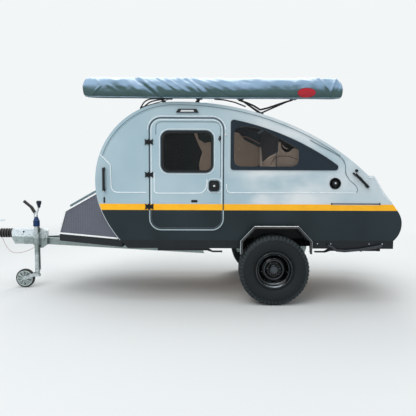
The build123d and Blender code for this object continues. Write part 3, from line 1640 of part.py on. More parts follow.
# Tail lamps: an upright cluster at each side of the tail panel
lamp_y = 700.0
lamp_width = 90.0
lamp_low_z = 752.0
lamp_high_z = 1012.0
with BuildPart() as tail_lamps:
    for sign in (-1, 1):
        with BuildSketch(side_plane(sign * lamp_y + lamp_width / 2)):
            add(body_outline(-lamp_proud))
            add(body_outline(-seat_gap), mode=Mode.SUBTRACT)
            add(box_shape(bulkhead_x, x_high, lamp_low_z, lamp_high_z), mode=Mode.INTERSECT)
        extrude(amount=lamp_width)
tail_lamps.part.label = "tail_lamps"
export_step(tail_lamps.part, "parts/tail_lamps.step")
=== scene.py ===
"""Looks of the teardrop camping trailer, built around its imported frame.

Frame: metres, +Z up from the ground, -X towards the coupling, -Y towards the kerb side.
"""
from math import copysign, cos, exp, hypot, pi, radians, sin, tan

import bmesh
import bpy
from mathutils import Matrix, Vector, noise
from mathutils.bvhtree import BVHTree


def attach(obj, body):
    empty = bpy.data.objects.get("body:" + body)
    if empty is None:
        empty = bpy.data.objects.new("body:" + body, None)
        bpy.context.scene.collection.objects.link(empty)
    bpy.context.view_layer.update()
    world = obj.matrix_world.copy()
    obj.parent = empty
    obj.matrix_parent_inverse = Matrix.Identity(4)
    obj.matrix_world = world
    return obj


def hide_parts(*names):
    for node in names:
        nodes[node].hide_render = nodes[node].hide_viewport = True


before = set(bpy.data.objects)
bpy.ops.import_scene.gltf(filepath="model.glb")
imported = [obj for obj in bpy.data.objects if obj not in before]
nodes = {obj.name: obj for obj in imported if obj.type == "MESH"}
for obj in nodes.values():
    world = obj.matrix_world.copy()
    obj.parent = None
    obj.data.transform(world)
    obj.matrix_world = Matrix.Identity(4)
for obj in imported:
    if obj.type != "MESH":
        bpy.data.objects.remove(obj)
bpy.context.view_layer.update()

# Values shared with the solids, in metres
SIDES = {"left": -1, "right": 1}
HALF_WIDTH = 0.860
WALL = 0.030
STRIPE_LOW, STRIPE_HIGH = 1.040, 1.108
# Outline of the body: its foot and heading at the nose, then arcs of a radius and so many degrees
SKIN_FOOT, SKIN_HEADING = (-0.520, 0.612), 136.2
SKIN_ARCS = ((1.265, 21.7), (0.855, 85.9), (0.840, 26.5), (3.095, 33.3), (2.565, 24.1), (0.240, 84.1))
AXLE_X, WHEEL_Z, TRACK_HALF = 1.085, 0.385, 0.838
# Rounded rectangles in side view: front, rear, lowest, highest, corner
DOOR = (-0.280, 0.525, 0.823, 2.037, 0.125)
DOOR_WINDOW = (-0.154, 0.413, 1.449, 1.902, 0.087)
DOOR_LATCH = (0.424, 1.307)
# Round lock: place, height, radius
LOCK = (1.743, 1.337, 0.062)
COUPLING_Z = 0.664
JOCKEY = (-1.776, -0.160)
JOCKEY_AXLE = Vector((-1.930, -0.160, 0.116))

# Camera where the photograph was taken from
CAMERA_PLACE = (0.358, -6.06, 1.501)
CAMERA_DROP, CAMERA_ROLL = 4.8, 0.22
SENSOR, FOCUS_PIXELS, PHOTO_WIDTH = 36.0, 477.0, 416


def link(name, data):
    """A new object with its data, in the scene."""
    made = bpy.data.objects.new(name, data)
    bpy.context.scene.collection.objects.link(made)
    return made


def set_camera():
    """Camera at the photograph's place, with its drop, roll and field of view."""
    data = bpy.data.cameras.new("camera")
    data.sensor_width = SENSOR
    data.lens = SENSOR * FOCUS_PIXELS / PHOTO_WIDTH
    camera = link("camera", data)
    turn = Matrix.Rotation(radians(90 - CAMERA_DROP), 4, "X")
    roll = Matrix.Rotation(radians(CAMERA_ROLL), 4, "Z")
    camera.matrix_world = Matrix.Translation(CAMERA_PLACE) @ turn @ roll
    bpy.context.scene.camera = camera


set_camera()


# Shader maths as plain expressions
def both_ways(operation):
    """An operator and its reflected form, each adding one Math node."""

    def forward(self, other):
        return self.finish.node("ShaderNodeMath", {"operation": operation}, {0: self, 1: other})

    def reflected(self, other):
        return self.finish.node("ShaderNodeMath", {"operation": operation}, {0: other, 1: self})

    return forward, reflected


class Flow:
    """One output socket of a finish, used in expressions."""

    def __init__(self, finish, socket):
        self.finish = finish
        self.socket = socket

    __add__, __radd__ = both_ways("ADD")
    __sub__, __rsub__ = both_ways("SUBTRACT")
    __mul__, __rmul__ = both_ways("MULTIPLY")
    __pow__, __rpow__ = both_ways("POWER")

    def alone(self, operation):
        """A Math node of one value, such as FRACT or SINE."""
        return self.finish.node("ShaderNodeMath", {"operation": operation}, {0: self})

    def rise(self, low, high):
        """0 below low, 1 above high, smooth between them."""
        values = {0: self, 1: low, 2: high, 3: 0.0, 4: 1.0}
        return self.finish.node("ShaderNodeMapRange", {"interpolation_type": "SMOOTHSTEP"}, values)

    def stripes(self, count, low, high, edge):
        """1 within a band of each of so many stripes a metre, 0 between them."""
        share = (self * count).alone("FRACT")
        return share.rise(low - edge, low + edge) * (1 - share.rise(high - edge, high + edge))


def tint(red, green, blue):
    """A display colour from 0 to 255 as a linear colour with alpha."""

    def linear(value):
        share = value / 255
        return share / 12.92 if share <= 0.04045 else ((share + 0.055) / 1.055) ** 2.4

    return (linear(red), linear(green), linear(blue), 1.0)


def dimmed(colour, share):
    """A display colour as a linear colour that is dimmed to a share of its light."""
    return tuple(share * value for value in tint(*colour)[:3]) + (1.0,)


class Finish:
    """A material: one surface shader, and nodes added by expressions."""

    def __init__(self, name, **constants):
        self.material = bpy.data.materials.new(name)
        self.material.use_nodes = True
        self.tree = self.material.node_tree
        self.tree.nodes.clear()
        self.surface = self.tree.nodes.new("ShaderNodeBsdfPrincipled")
        self.output = self.tree.nodes.new("ShaderNodeOutputMaterial").inputs[0]
        self.tree.links.new(self.surface.outputs[0], self.output)
        for socket, value in constants.items():
            self.feed(self.surface.inputs[socket.replace("_", " ").title().replace("Ior", "IOR")], value)

    def feed(self, socket, value):
        """A link from a flow, or a plain value on the socket itself."""
        if isinstance(value, Flow):
            self.tree.links.new(value.socket, socket)
        else:
            socket.default_value = value

    def node(self, kind, settings=None, sockets=None, output=0):
        """Any node: its type, its settings first, then the values or links of its sockets."""
        made = self.tree.nodes.new(kind)
        for key, value in (settings or {}).items():
            setattr(made, key, value)
        for key, value in (sockets or {}).items():
            self.feed(made.inputs[key], value)
        return Flow(self, made.outputs[output])

    def place(self):
        """The point in the trailer's own frame."""
        return self.node("ShaderNodeTexCoord", output="Object")

    def axes(self, vector=None):
        """The three coordinates of a vector."""
        split = self.node("ShaderNodeSeparateXYZ", None, {0: vector or self.place()})
        return [Flow(self, socket) for socket in split.socket.node.outputs]

    def facing_up(self):
        """How much the surface faces the sky, from -1 to 1."""
        return self.axes(self.node("ShaderNodeNewGeometry", output="Normal"))[2]

    def stretch(self, *amounts):
        """The point stretched by three factors."""
        return self.node("ShaderNodeVectorMath", {"operation": "MULTIPLY"}, {0: self.place(), 1: amounts})

    def noise(self, scale, detail=3.0, roughness=0.55, vector=None):
        """Noise from 0 to 1 at so many features a metre."""
        sockets = {"Vector": vector or self.place(), "Scale": scale, "Detail": detail, "Roughness": roughness}
        return self.node("ShaderNodeTexNoise", {"noise_dimensions": "3D"}, sockets)

    def cells(self, scale, output="Distance"):
        """Distance to, or colour of, the nearest of scattered cells."""
        sockets = {"Vector": self.place(), "Scale": scale}
        return self.node("ShaderNodeTexVoronoi", {"feature": "F1"}, sockets, output)

    def mix(self, share, first, second):
        """A colour between two flows, linear colours or display colours."""
        ends = [end if isinstance(end, Flow) or len(end) == 4 else tint(*end) for end in (first, second)]
        return self.node("ShaderNodeMix", {"data_type": "RGBA"}, {0: share, 6: ends[0], 7: ends[1]}, 2)

    def dress(self, colour, rough, height=None, depth=0.0, strength=0.5):
        """Feeds colour, roughness and a bump that is so many metres deep, and gives the material."""
        self.feed(self.surface.inputs["Base Color"], colour)
        self.feed(self.surface.inputs["Roughness"], rough)
        if height:
            sockets = {"Strength": strength, "Distance": depth, "Height": height}
            self.feed(self.surface.inputs["Normal"], self.node("ShaderNodeBump", None, sockets))
        return self.material


# Finishes that serve several pieces
def banded(f, upper, amber, lower):
    """Upper colour, waist stripe and lower band, by the height on the body."""
    z = f.axes()[2]
    low = f.mix(z.rise(STRIPE_LOW, STRIPE_LOW + 0.0006), lower, amber)
    return f.mix(z.rise(STRIPE_HIGH - 0.0006, STRIPE_HIGH), low, upper)


def make_coachwork(name, lined=False):
    """Gloss laminate: pale silver-blue, an amber waist stripe and a charcoal lower band, with painted sky
    reflection and painted highlight on the outer sides.
    """
    f = Finish(name, specular_ior_level=0.25, coat_roughness=0.1)
    x, y, z = f.axes()
    f.feed(f.surface.inputs["Coat Weight"], 0.06 + 0.3 * z.rise(1.02, 1.05))
    cloud = f.noise(1.6, 2.0)
    sky = f.noise(2.2, 3.0, 0.5, f.stretch(0.7, 1.0, 1.3)).rise(0.3, 0.62)
    side = (y * y).rise(0.70, 0.735)
    upper = f.mix(cloud.rise(0.35, 0.7), (156, 180, 190), (170, 190, 198))
    # Patches of painted sky reflection on the outer sides, from the door back towards the tail
    upper = f.mix(sky * x.rise(0.4, 1.0) * (1 - 0.6 * x.rise(1.7, 2.1)) * side * 0.85, upper, (226, 228, 228))
    # Outer sides paler towards the tail: painted highlight
    upper = f.mix(x.rise(1.0, 2.0) * side * 0.35, upper, (206, 216, 220))
    amber = f.mix(f.noise(9.0).rise(0.3, 0.8), (254, 184, 14), (247, 174, 8))
    lower = f.mix(cloud.rise(0.3, 0.7), (16, 30, 35), (28, 42, 47))
    coat = banded(f, upper, amber, f.mix(x.rise(1.4, 2.4) * 0.15, lower, (44, 60, 66)))
    if lined:
        board = f.mix(f.noise(5.0, 3.0), (176, 184, 186), (196, 202, 203))
        coat = f.mix((y * y).rise(0.692, 0.700), board, coat)
    return f.dress(coat, 0.24 + 0.16 * f.noise(14.0, 5.0), f.noise(160.0, 1.0), 0.00012)


def make_ridge(name, upper, amber, lower):
    """Paint on the raised lines of the sides, by band; its light and dark colours are painted highlight and
    painted shade along the lines.
    """
    f = Finish(name, specular_ior_level=0.4)
    worn = f.noise(34.0, 4.0).rise(0.3, 0.8)
    colour = banded(f, f.mix(worn, dimmed(upper, 0.86), upper), tint(*amber), tint(*lower))
    return f.dress(colour, 0.3 + 0.12 * worn, f.noise(260.0), 0.0001, 0.4)


def make_powder(name, low, high, coat=0.0):
    """Black powder coat on steel, a little dusty in patches."""
    f = Finish(name, specular_ior_level=0.3, coat_weight=coat, coat_roughness=0.06)
    grain = f.noise(620.0, 2.0)
    dust = f.noise(18.0, 5.0, 0.7).rise(0.5, 0.9)
    return f.dress(f.mix(dust * 0.3, low, high), 0.36 + 0.18 * dust + 0.08 * grain, grain, 0.0002)


def make_zinc(name, low, high, metallic):
    """Hot-dip galvanising: crystal spangle, rougher patches, thin white bloom, and green-grey painted shade
    on what faces down between 0.40 and 0.63 m up.
    """
    f = Finish(name, metallic=metallic)
    red = f.node("ShaderNodeSeparateColor", None, {0: f.cells(85.0, "Color")})
    bloom = f.noise(11.0, 5.0, 0.65).rise(0.42, 0.78)
    base = f.mix(bloom * 0.55, f.mix(red, low, high), high)
    z = f.axes()[2]
    # Green-grey painted shade on what faces down, between 0.40 and 0.63 m up
    shade_facing_down = (1 - f.facing_up().rise(-0.1, 0.5)) * (1 - z.rise(0.615, 0.632)) * z.rise(0.40, 0.46)
    colour = f.mix(shade_facing_down * 0.62, base, (92, 112, 104))
    return f.dress(colour, 0.28 + 0.16 * red + 0.22 * bloom, f.noise(140.0, 3.0), 0.0003, 0.4)


def make_box_sheet(name, dark, light):
    """Grey sheet of the front box with a fine pressed grid and scattered wear."""
    f = Finish(name, metallic=0.1, specular_ior_level=0.4)
    x, y, z = f.axes()
    grid = (x * 40.0 + y * 16.0).stripes(1.0, 0.16, 0.84, 0.1) * z.stripes(44.0, 0.16, 0.84, 0.1)
    wear = f.cells(46.0).rise(0.1, 0.5)
    base = f.mix(f.noise(5.0, 4.0) * 0.6 + wear * 0.4, dark, light)
    return f.dress(f.mix(grid * 0.8, light, base), 0.42 + 0.16 * wear, grid, 0.0008)


def make_woven(name, dark, light, threads=2400.0, sheen=0.2):
    """Plain-woven cloth from crossed threads."""
    f = Finish(name, sheen_weight=sheen, sheen_roughness=0.5)
    x, y, z = f.axes()
    warp = ((x * threads).alone("SINE") * 0.5 + 0.5) * ((y * threads + z * threads).alone("SINE") * 0.5 + 0.5)
    colour = f.mix(f.noise(6.0, 4.0) * 0.7 + warp * 0.3, dark, light)
    return f.dress(colour, 0.78 + 0.14 * warp, warp, 0.0002, 0.35)


def make_plain(name, base, rough_low, scale=60.0, grain=0.0002, **constants):
    """A moulded or painted part with slight tone and gloss variation."""
    f = Finish(name, **constants)
    cloud = f.noise(scale, 4.0)
    colour = f.mix(cloud, dimmed(base, 0.8), base)
    return f.dress(colour, rough_low + 0.12 * cloud, f.noise(scale * 8), grain, 0.4)


COACHWORK = make_coachwork("coachwork")
WALL_COAT = make_coachwork("wall_coachwork", True)
# Near-white beads are painted highlight and darker beads painted shade; the door's edge is dark above the
# stripe as the gap's painted shade and pale below as painted highlight
HIGHLIGHT_RIDGE = make_ridge("ridge_painted_highlight", (236, 244, 248), (255, 196, 40), (58, 70, 78))
SHADE_RIDGE = make_ridge("ridge_painted_shade", (108, 132, 142), (236, 160, 10), (30, 42, 50))
DOOR_EDGE_SHADE_HIGHLIGHT = make_ridge("door_edge", (40, 54, 66), (86, 76, 50), (160, 176, 182))
POWDER = make_powder("black_powder", (16, 22, 27), (48, 54, 58))
# Darker copy of the powder coat for the flares: painted shade
SHADED_FLARE_POWDER = make_powder("flare_powder_painted_shade", (8, 12, 15), (30, 35, 38), 1.0)
STEADY_BLACK = make_powder("steady_powder", (26, 34, 42), (60, 68, 76), 0.6)
ZINC = make_zinc("galvanised", (150, 162, 164), (206, 214, 216), 0.85)
# Lighter, less metallic copy of the galvanising for the coupling: painted highlight
HOUSING_ZINC_HIGHLIGHT = make_zinc("housing_zinc_painted_highlight", (196, 208, 214), (230, 238, 242), 0.35)
BOX_SHEET = make_box_sheet("box_sheet", (44, 46, 60), (96, 100, 112))
LID_SHEET = make_box_sheet("lid_sheet", (78, 98, 104), (120, 140, 146))
BED_CLOTH = make_woven("bed_cloth", (116, 110, 104), (150, 144, 138))
PATCH_RED = make_woven("patch_red", (160, 18, 36), (196, 28, 48))
PATCH_EDGE = make_woven("patch_edge", (120, 14, 28), (150, 20, 36))
TAN_CARD = make_woven("tan_card", (142, 124, 110), (176, 158, 142), 1900.0, 0.0)
TAN_LIGHT = make_woven("tan_light", (196, 180, 164), (222, 208, 194), 1900.0, 0.0)
REFLEX = make_plain("reflex_red", (140, 16, 18), 0.18, 300.0, coat_weight=0.7)
CLEAR_LENS = make_plain("clear_lens", (214, 218, 220), 0.16, 40.0, coat_weight=0.6)
WHITE_MOULDING = make_plain("white_moulding", (240, 242, 240), 0.4)
BLUE_MOULDING = make_plain("blue_moulding", (6, 46, 92), 0.35, specular_ior_level=0.3)
KNOB_BLUE = make_plain("knob_blue", (20, 32, 50), 0.35, specular_ior_level=0.3)
GREY_MOULDING = make_plain("grey_moulding", (176, 190, 186), 0.45)
CABLE_RED = make_plain("cable_red", (132, 22, 22), 0.4, 200.0)
# Near-black for the arch liner and the brake drum: painted shade
SHADE_LINING = make_plain("lining_painted_shade", (12, 15, 16), 0.8, specular_ior_level=0.1)
# Near-white and pale grey on the flare's top edge and sloping sides: painted highlight
FLARE_EDGE_HIGHLIGHT = make_plain("flare_edge_coat", (252, 254, 254), 0.25, 30.0)
FLARE_SIDE_HIGHLIGHT = make_plain("flare_side_painted_highlight", (176, 188, 192), 0.25, 30.0)
TUBE_SHADOW = make_plain("tube_shadow", (58, 70, 62), 0.5, 40.0)
BOX_TRIM = make_plain("box_trim", (254, 255, 255), 0.35, 30.0, coat_weight=0.3)
NOSE_TRIM = make_plain("nose_trim", (186, 196, 198), 0.35, 30.0)
# Cap, disc ring and rim rings of the wheel lighter than its enamel: painted highlight
WHEEL_CAP_HIGHLIGHT = make_plain("wheel_cap_painted_highlight", (40, 50, 58), 0.25, 30.0, coat_weight=0.4)
RIM_RING_HIGHLIGHT = make_plain("rim_lip", (50, 60, 66), 0.2, 30.0, coat_weight=0.6)
# Dark felt for the linings and the cards' seams; the lining's darkness stands for the cabin's painted shade
FELT_AND_SHADE = make_plain("felt_lining_painted_shade", (40, 44, 52), 0.8, 90.0, 0.0006, specular_ior_level=0.1)
DARK_BOARD = make_plain("dark_board", (26, 29, 40), 0.5, 30.0)
# Near-black blinds in the far windows: painted shade of the cabin
DARK_BLIND_SHADE = make_plain("window_blind_painted_shade", (18, 25, 25), 0.75, 60.0, 0.0003, specular_ior_level=0.1)
STEEL = make_plain("brushed_steel", (190, 194, 196), 0.22, 25.0, 0.0001, metallic=1.0)

# Fine-grained black moulded plastic
f = Finish("black_moulding", specular_ior_level=0.25)
colour = f.mix(f.noise(30.0), (14, 17, 20), (26, 30, 33))
MOULDING = f.dress(colour, 0.42 + 0.14 * f.noise(60.0, 3.0), f.cells(900.0), 0.00015, 0.4)

# Bright plated steel with faint handling marks
f = Finish("bright_plate", metallic=1.0)
CHROME = f.dress(tint(212, 214, 216), 0.12 + 0.12 * f.noise(120.0, 4.0))

# Mill-finished aluminium edge trim with long drawing lines
f = Finish("aluminium_trim", metallic=0.55)
lines = f.noise(240.0, 3.0, 0.6, f.stretch(0.05, 1.0, 1.0))
ALUMINIUM = f.dress(f.mix(lines, (206, 212, 214), (232, 236, 237)), 0.28 + 0.16 * lines, lines, 0.0001, 0.4)

# Matt black rubber with a grey bloom
f = Finish("black_rubber")
bloom = f.noise(26.0, 4.0)
RUBBER = f.dress(f.mix(bloom, (20, 20, 21), (38, 38, 38)), 0.62 + 0.18 * bloom, f.noise(420.0, 2.0), 0.0002)

# Rubber of the coupling's boot; the light grey on the crests of its ribs is a painted highlight, patchy with
# dust
f = Finish("boot_rubber")
x, y, z = f.axes()
ribs = ((y * y + (z - COUPLING_Z) ** 2.0) ** 0.5).rise(0.054, 0.060)
dust = f.noise(60.0, 4.0).rise(0.3, 0.7)
colour = f.mix(ribs * (0.5 + 0.5 * dust), (8, 9, 11), (84, 82, 80))
BOOT_RUBBER = f.dress(colour, 0.6 + 0.2 * dust, f.noise(300.0, 2.0), 0.0002)

# Tyre rubber: dark sidewalls with moulded rings, dust in the tread
f = Finish("tyre_rubber", specular_ior_level=0.3)
x, y, z = f.axes()
radius = ((x - AXLE_X) ** 2.0 + (z - WHEEL_Z) ** 2.0) ** 0.5
dust = f.noise(30.0, 5.0, 0.7).rise(0.4, 0.85)
colour = f.mix(dust * 0.5, (15, 22, 25), (36, 44, 46))
colour = f.mix(radius.rise(0.330, 0.350) * 0.5, colour, (54, 63, 67))
colour = f.mix(radius.rise(0.352, 0.376) * dust * 0.6, colour, (84, 84, 80))
rings = (radius * 210.0).alone("FRACT").rise(0.35, 0.65) * (1 - radius.rise(0.335, 0.342))
TYRE = f.dress(colour, 0.66 + 0.2 * dust, rings * 0.7 + f.noise(380.0, 2.0) * 0.3, 0.0008, 0.6)

# Gloss black wheel enamel with patchy road film; near-white blue where it faces the sky is a painted sky
# reflection
f = Finish("wheel_enamel", specular_ior_level=0.12, coat_weight=0.3, coat_roughness=0.05)
film = f.noise(40.0, 5.0, 0.7).rise(0.5, 0.95)
sky = f.facing_up().rise(0.72, 0.98) * (0.35 + 0.65 * f.noise(7.0, 2.0).rise(0.35, 0.6))
colour = f.mix(sky, f.mix(film * 0.3, (4, 9, 9), (24, 32, 31)), (232, 242, 252))
WHEEL_ENAMEL = f.dress(colour, 0.14 + 0.25 * film, f.noise(90.0), 0.00015, 0.4)

# Tinted acrylic that shows the cabin behind it
f = Finish("acrylic", specular_ior_level=0.4)
smear = f.noise(5.0, 4.0).rise(0.45, 0.8)
f.feed(f.surface.inputs["Alpha"], 0.22 + 0.06 * smear)
GLAZING = f.dress(f.mix(smear, (12, 18, 20), (26, 34, 36)), 0.05)

# Back-painted black border of a side window
f = Finish("black_acrylic", specular_ior_level=0.25)
BLACK_ACRYLIC = f.dress(f.mix(f.noise(3.0), (18, 32, 42), (28, 42, 52)), 0.12 + 0.1 * f.noise(22.0, 4.0))

# Varnished birch board with long grain
f = Finish("birch_board", coat_weight=0.2, coat_roughness=0.2)
grain = f.noise(22.0, 5.0, 0.6, f.stretch(1.0, 0.12, 1.0))
lines = f.noise(160.0, 3.0, 0.6, f.stretch(1.0, 0.05, 1.0))
colour = f.mix(grain * 0.7 + lines * 0.3, (168, 128, 88), (206, 170, 126))
PLY = f.dress(colour, 0.4 + 0.14 * lines, lines, 0.0003, 0.4)

# Tan upholstery cloth that lines the cabin
f = Finish("tan_lining", sheen_weight=0.3)
weave = f.cells(420.0)
LINING = f.dress(f.mix(f.noise(7.0, 3.0), (150, 122, 98), (178, 150, 124)), 0.85 + 0.1 * weave, weave, 0.0006)

# Coated awning cover, finely creased: near-white where it faces the sky is a painted highlight, grey-green
# underneath is painted shade
f = Finish("awning_cover", specular_ior_level=0.35)
creases = f.noise(13.0, 4.0, 0.6, f.stretch(0.35, 1.0, 1.0))
fine = f.noise(90.0, 4.0, 0.65)
facing = f.facing_up() + (creases - 0.5) * 0.5
under = f.mix(fine, (48, 72, 74), (76, 102, 102))
upper = f.mix(creases, (104, 132, 156), (138, 164, 190))
colour = f.mix(facing.rise(0.45, 0.95), f.mix(facing.rise(-0.25, 0.22), under, upper), (206, 222, 232))
AWNING_COVER = f.dress(colour, 0.4 + 0.22 * fine, creases * 0.7 + fine * 0.3, 0.004)

# Tail lamp lens: red above, amber, then clear, with fine moulded ribs
f = Finish("lamp_lens", specular_ior_level=0.5, coat_weight=0.8, coat_roughness=0.04)
x, y, z = f.axes()
colour = f.mix(z.rise(0.824, 0.826), (206, 210, 212), (226, 118, 12))
colour = f.mix(z.rise(0.889, 0.891), colour, (152, 14, 16))
ribs = z.stripes(190.0, 0.2, 0.8, 0.15) * y.stripes(150.0, 0.2, 0.8, 0.15)
LAMP_LENS = f.dress(colour, 0.12 + 0.08 * f.noise(40.0), ribs, 0.0010)

# Finish of each solid; a star stands for left and right
NODE_FINISH = {
    COACHWORK: "roof_shell tail_panel tailgate",
    WALL_COAT: "side_wall_* door_*",
    POWDER: "side_sills leaf_springs box_tray awning_brackets steady_front_* steady_rear_* cross_members"
            " axle_beam",
    SHADED_FLARE_POWDER: "flares",
    MOULDING: "wheel_boxes wall_fittings grab_handles door_fittings_*",
    BLACK_ACRYLIC: "window_frames",
    ZINC: "chassis_rail_* drawbar_* jockey_clamp jockey_outer_tube jockey_inner_tube jockey_fork jockey_hub"
          " handbrake_lever",
    HOUSING_ZINC_HIGHLIGHT: "coupling_housing coupling_head",
    RUBBER: "bellows jockey_tyre",
    TYRE: "tyre_*",
    WHEEL_ENAMEL: "road_wheel_*",
    GLAZING: "side_panes door_pane_*",
    BOX_SHEET: "box_walls",
    LID_SHEET: "box_lid",
    PLY: "floor bulkhead bed_base worktop galley_cupboard",
    DARK_BOARD: "cabin_lockers",
    BED_CLOTH: "mattress",
    AWNING_COVER: "awning_bag",
    WHITE_MOULDING: "roof_vent",
    LAMP_LENS: "tail_lamps",
    CABLE_RED: "breakaway_cable",
}
for material, names in NODE_FINISH.items():
    for name in names.split():
        for side in SIDES if "*" in name else ("",):
            slots = nodes[name.replace("*", side)].data.materials
            slots.clear()
            slots.append(material)


def round_edges(made, width, angle):
    """A small bevel on the sharp edges of an object."""
    bevel = made.modifiers.new("edge_round", "BEVEL")
    bevel.width = width
    bevel.segments = 2
    bevel.limit_method = "ANGLE"
    bevel.angle_limit = radians(angle)
    bevel.harden_normals = True


for names, width in (
    ("side_wall_left side_wall_right door_left door_right tailgate", 0.0025),
    ("flares box_walls box_lid box_tray coupling_housing coupling_head", 0.0015),
):
    for name in names.split():
        nodes[name].modifiers.new("weld", "WELD").merge_threshold = 0.00005
        round_edges(nodes[name], width, 35.0)


# Outlines in side view
def place(point, level, axis):
    """A point of a flat outline put into the frame at a level along an axis."""
    u, v = point
    return Vector({"X": (level, u, v), "Y": (u, level, v), "Z": (u, v, level)}[axis])


def upright(points, y):
    """Points of a side view put at one place across the trailer."""
    return [place(point, y, "Y") for point in points]


def rounded(low_u, high_u, low_v, high_v, corner, inset=0.0, steps=8):
    """Points round a rectangle with rounded corners, drawn in by an inset."""
    corner = max(corner - inset, 0.0005)
    low_u, high_u, low_v, high_v = (
        low_u + inset + corner, high_u - inset - corner, low_v + inset + corner, high_v - inset - corner)
    points = []
    for u, v, start in ((high_u, high_v, 0), (low_u, high_v, 90), (low_u, low_v, 180), (high_u, low_v, 270)):
        for k in range(steps + 1):
            angle = radians(start + 90 * k / steps)
            points.append((u + corner * cos(angle), v + corner * sin(angle)))
    return points


def bent(points, radius, closed=False, steps=7):
    """Points along straight runs whose corners are rounded."""
    points = [Vector(point) for point in points]
    line = []
    for i, corner in enumerate(points):
        if not closed and i in (0, len(points) - 1):
            line.append(corner)
            continue
        size = radius[i] if isinstance(radius, tuple) else radius
        back = points[i - 1] - corner
        ahead = points[(i + 1) % len(points)] - corner
        run = min(size / tan(back.angle(ahead) / 2), 0.49 * back.length, 0.49 * ahead.length)
        start = corner + back.normalized() * run
        end = corner + ahead.normalized() * run
        for k in range(steps + 1):
            s = k / steps
            line.append(start * (1 - s) ** 2 + corner * (2 * s * (1 - s)) + end * s**2)
    return line


def skin_line(inset, degrees=2.0):
    """The trailer's outline in side view, from the nose's foot over the roof to the tail."""
    heading = radians(SKIN_HEADING)
    x = SKIN_FOOT[0] + inset * sin(heading)
    z = SKIN_FOOT[1] - inset * cos(heading)
    points = [(x, z)]
    for radius, turn in SKIN_ARCS:
        radius -= inset
        middle_x, middle_z = x + radius * sin(heading), z - radius * cos(heading)
        count = max(4, round(turn / degrees))
        for k in range(1, count + 1):
            angle = heading - radians(turn) * k / count
            points.append((middle_x - radius * sin(angle), middle_z + radius * cos(angle)))
        x, z = points[-1]
        heading -= radians(turn)
    return points


def skin_height(x, inset=0.0):
    """Height of the skin's upper side at a place along the trailer."""
    line = skin_line(inset)
    top = max(range(len(line)), key=lambda i: line[i][1])
    run = line[: top + 1] if x < line[top][0] else line[top:]
    for (x0, z0), (x1, z1) in zip(run, run[1:]):
        if min(x0, x1) <= x <= max(x0, x1) and x0 != x1:
            return z0 + (z1 - z0) * (x - x0) / (x1 - x0)
    return run[-1][1]


def tail_line(low, high, inset=0.0):
    """The skin's outline over the tail between two heights, from the top down."""
    return [point for point in skin_line(inset, 1.0) if point[0] > 1.9 and low < point[1] < high]


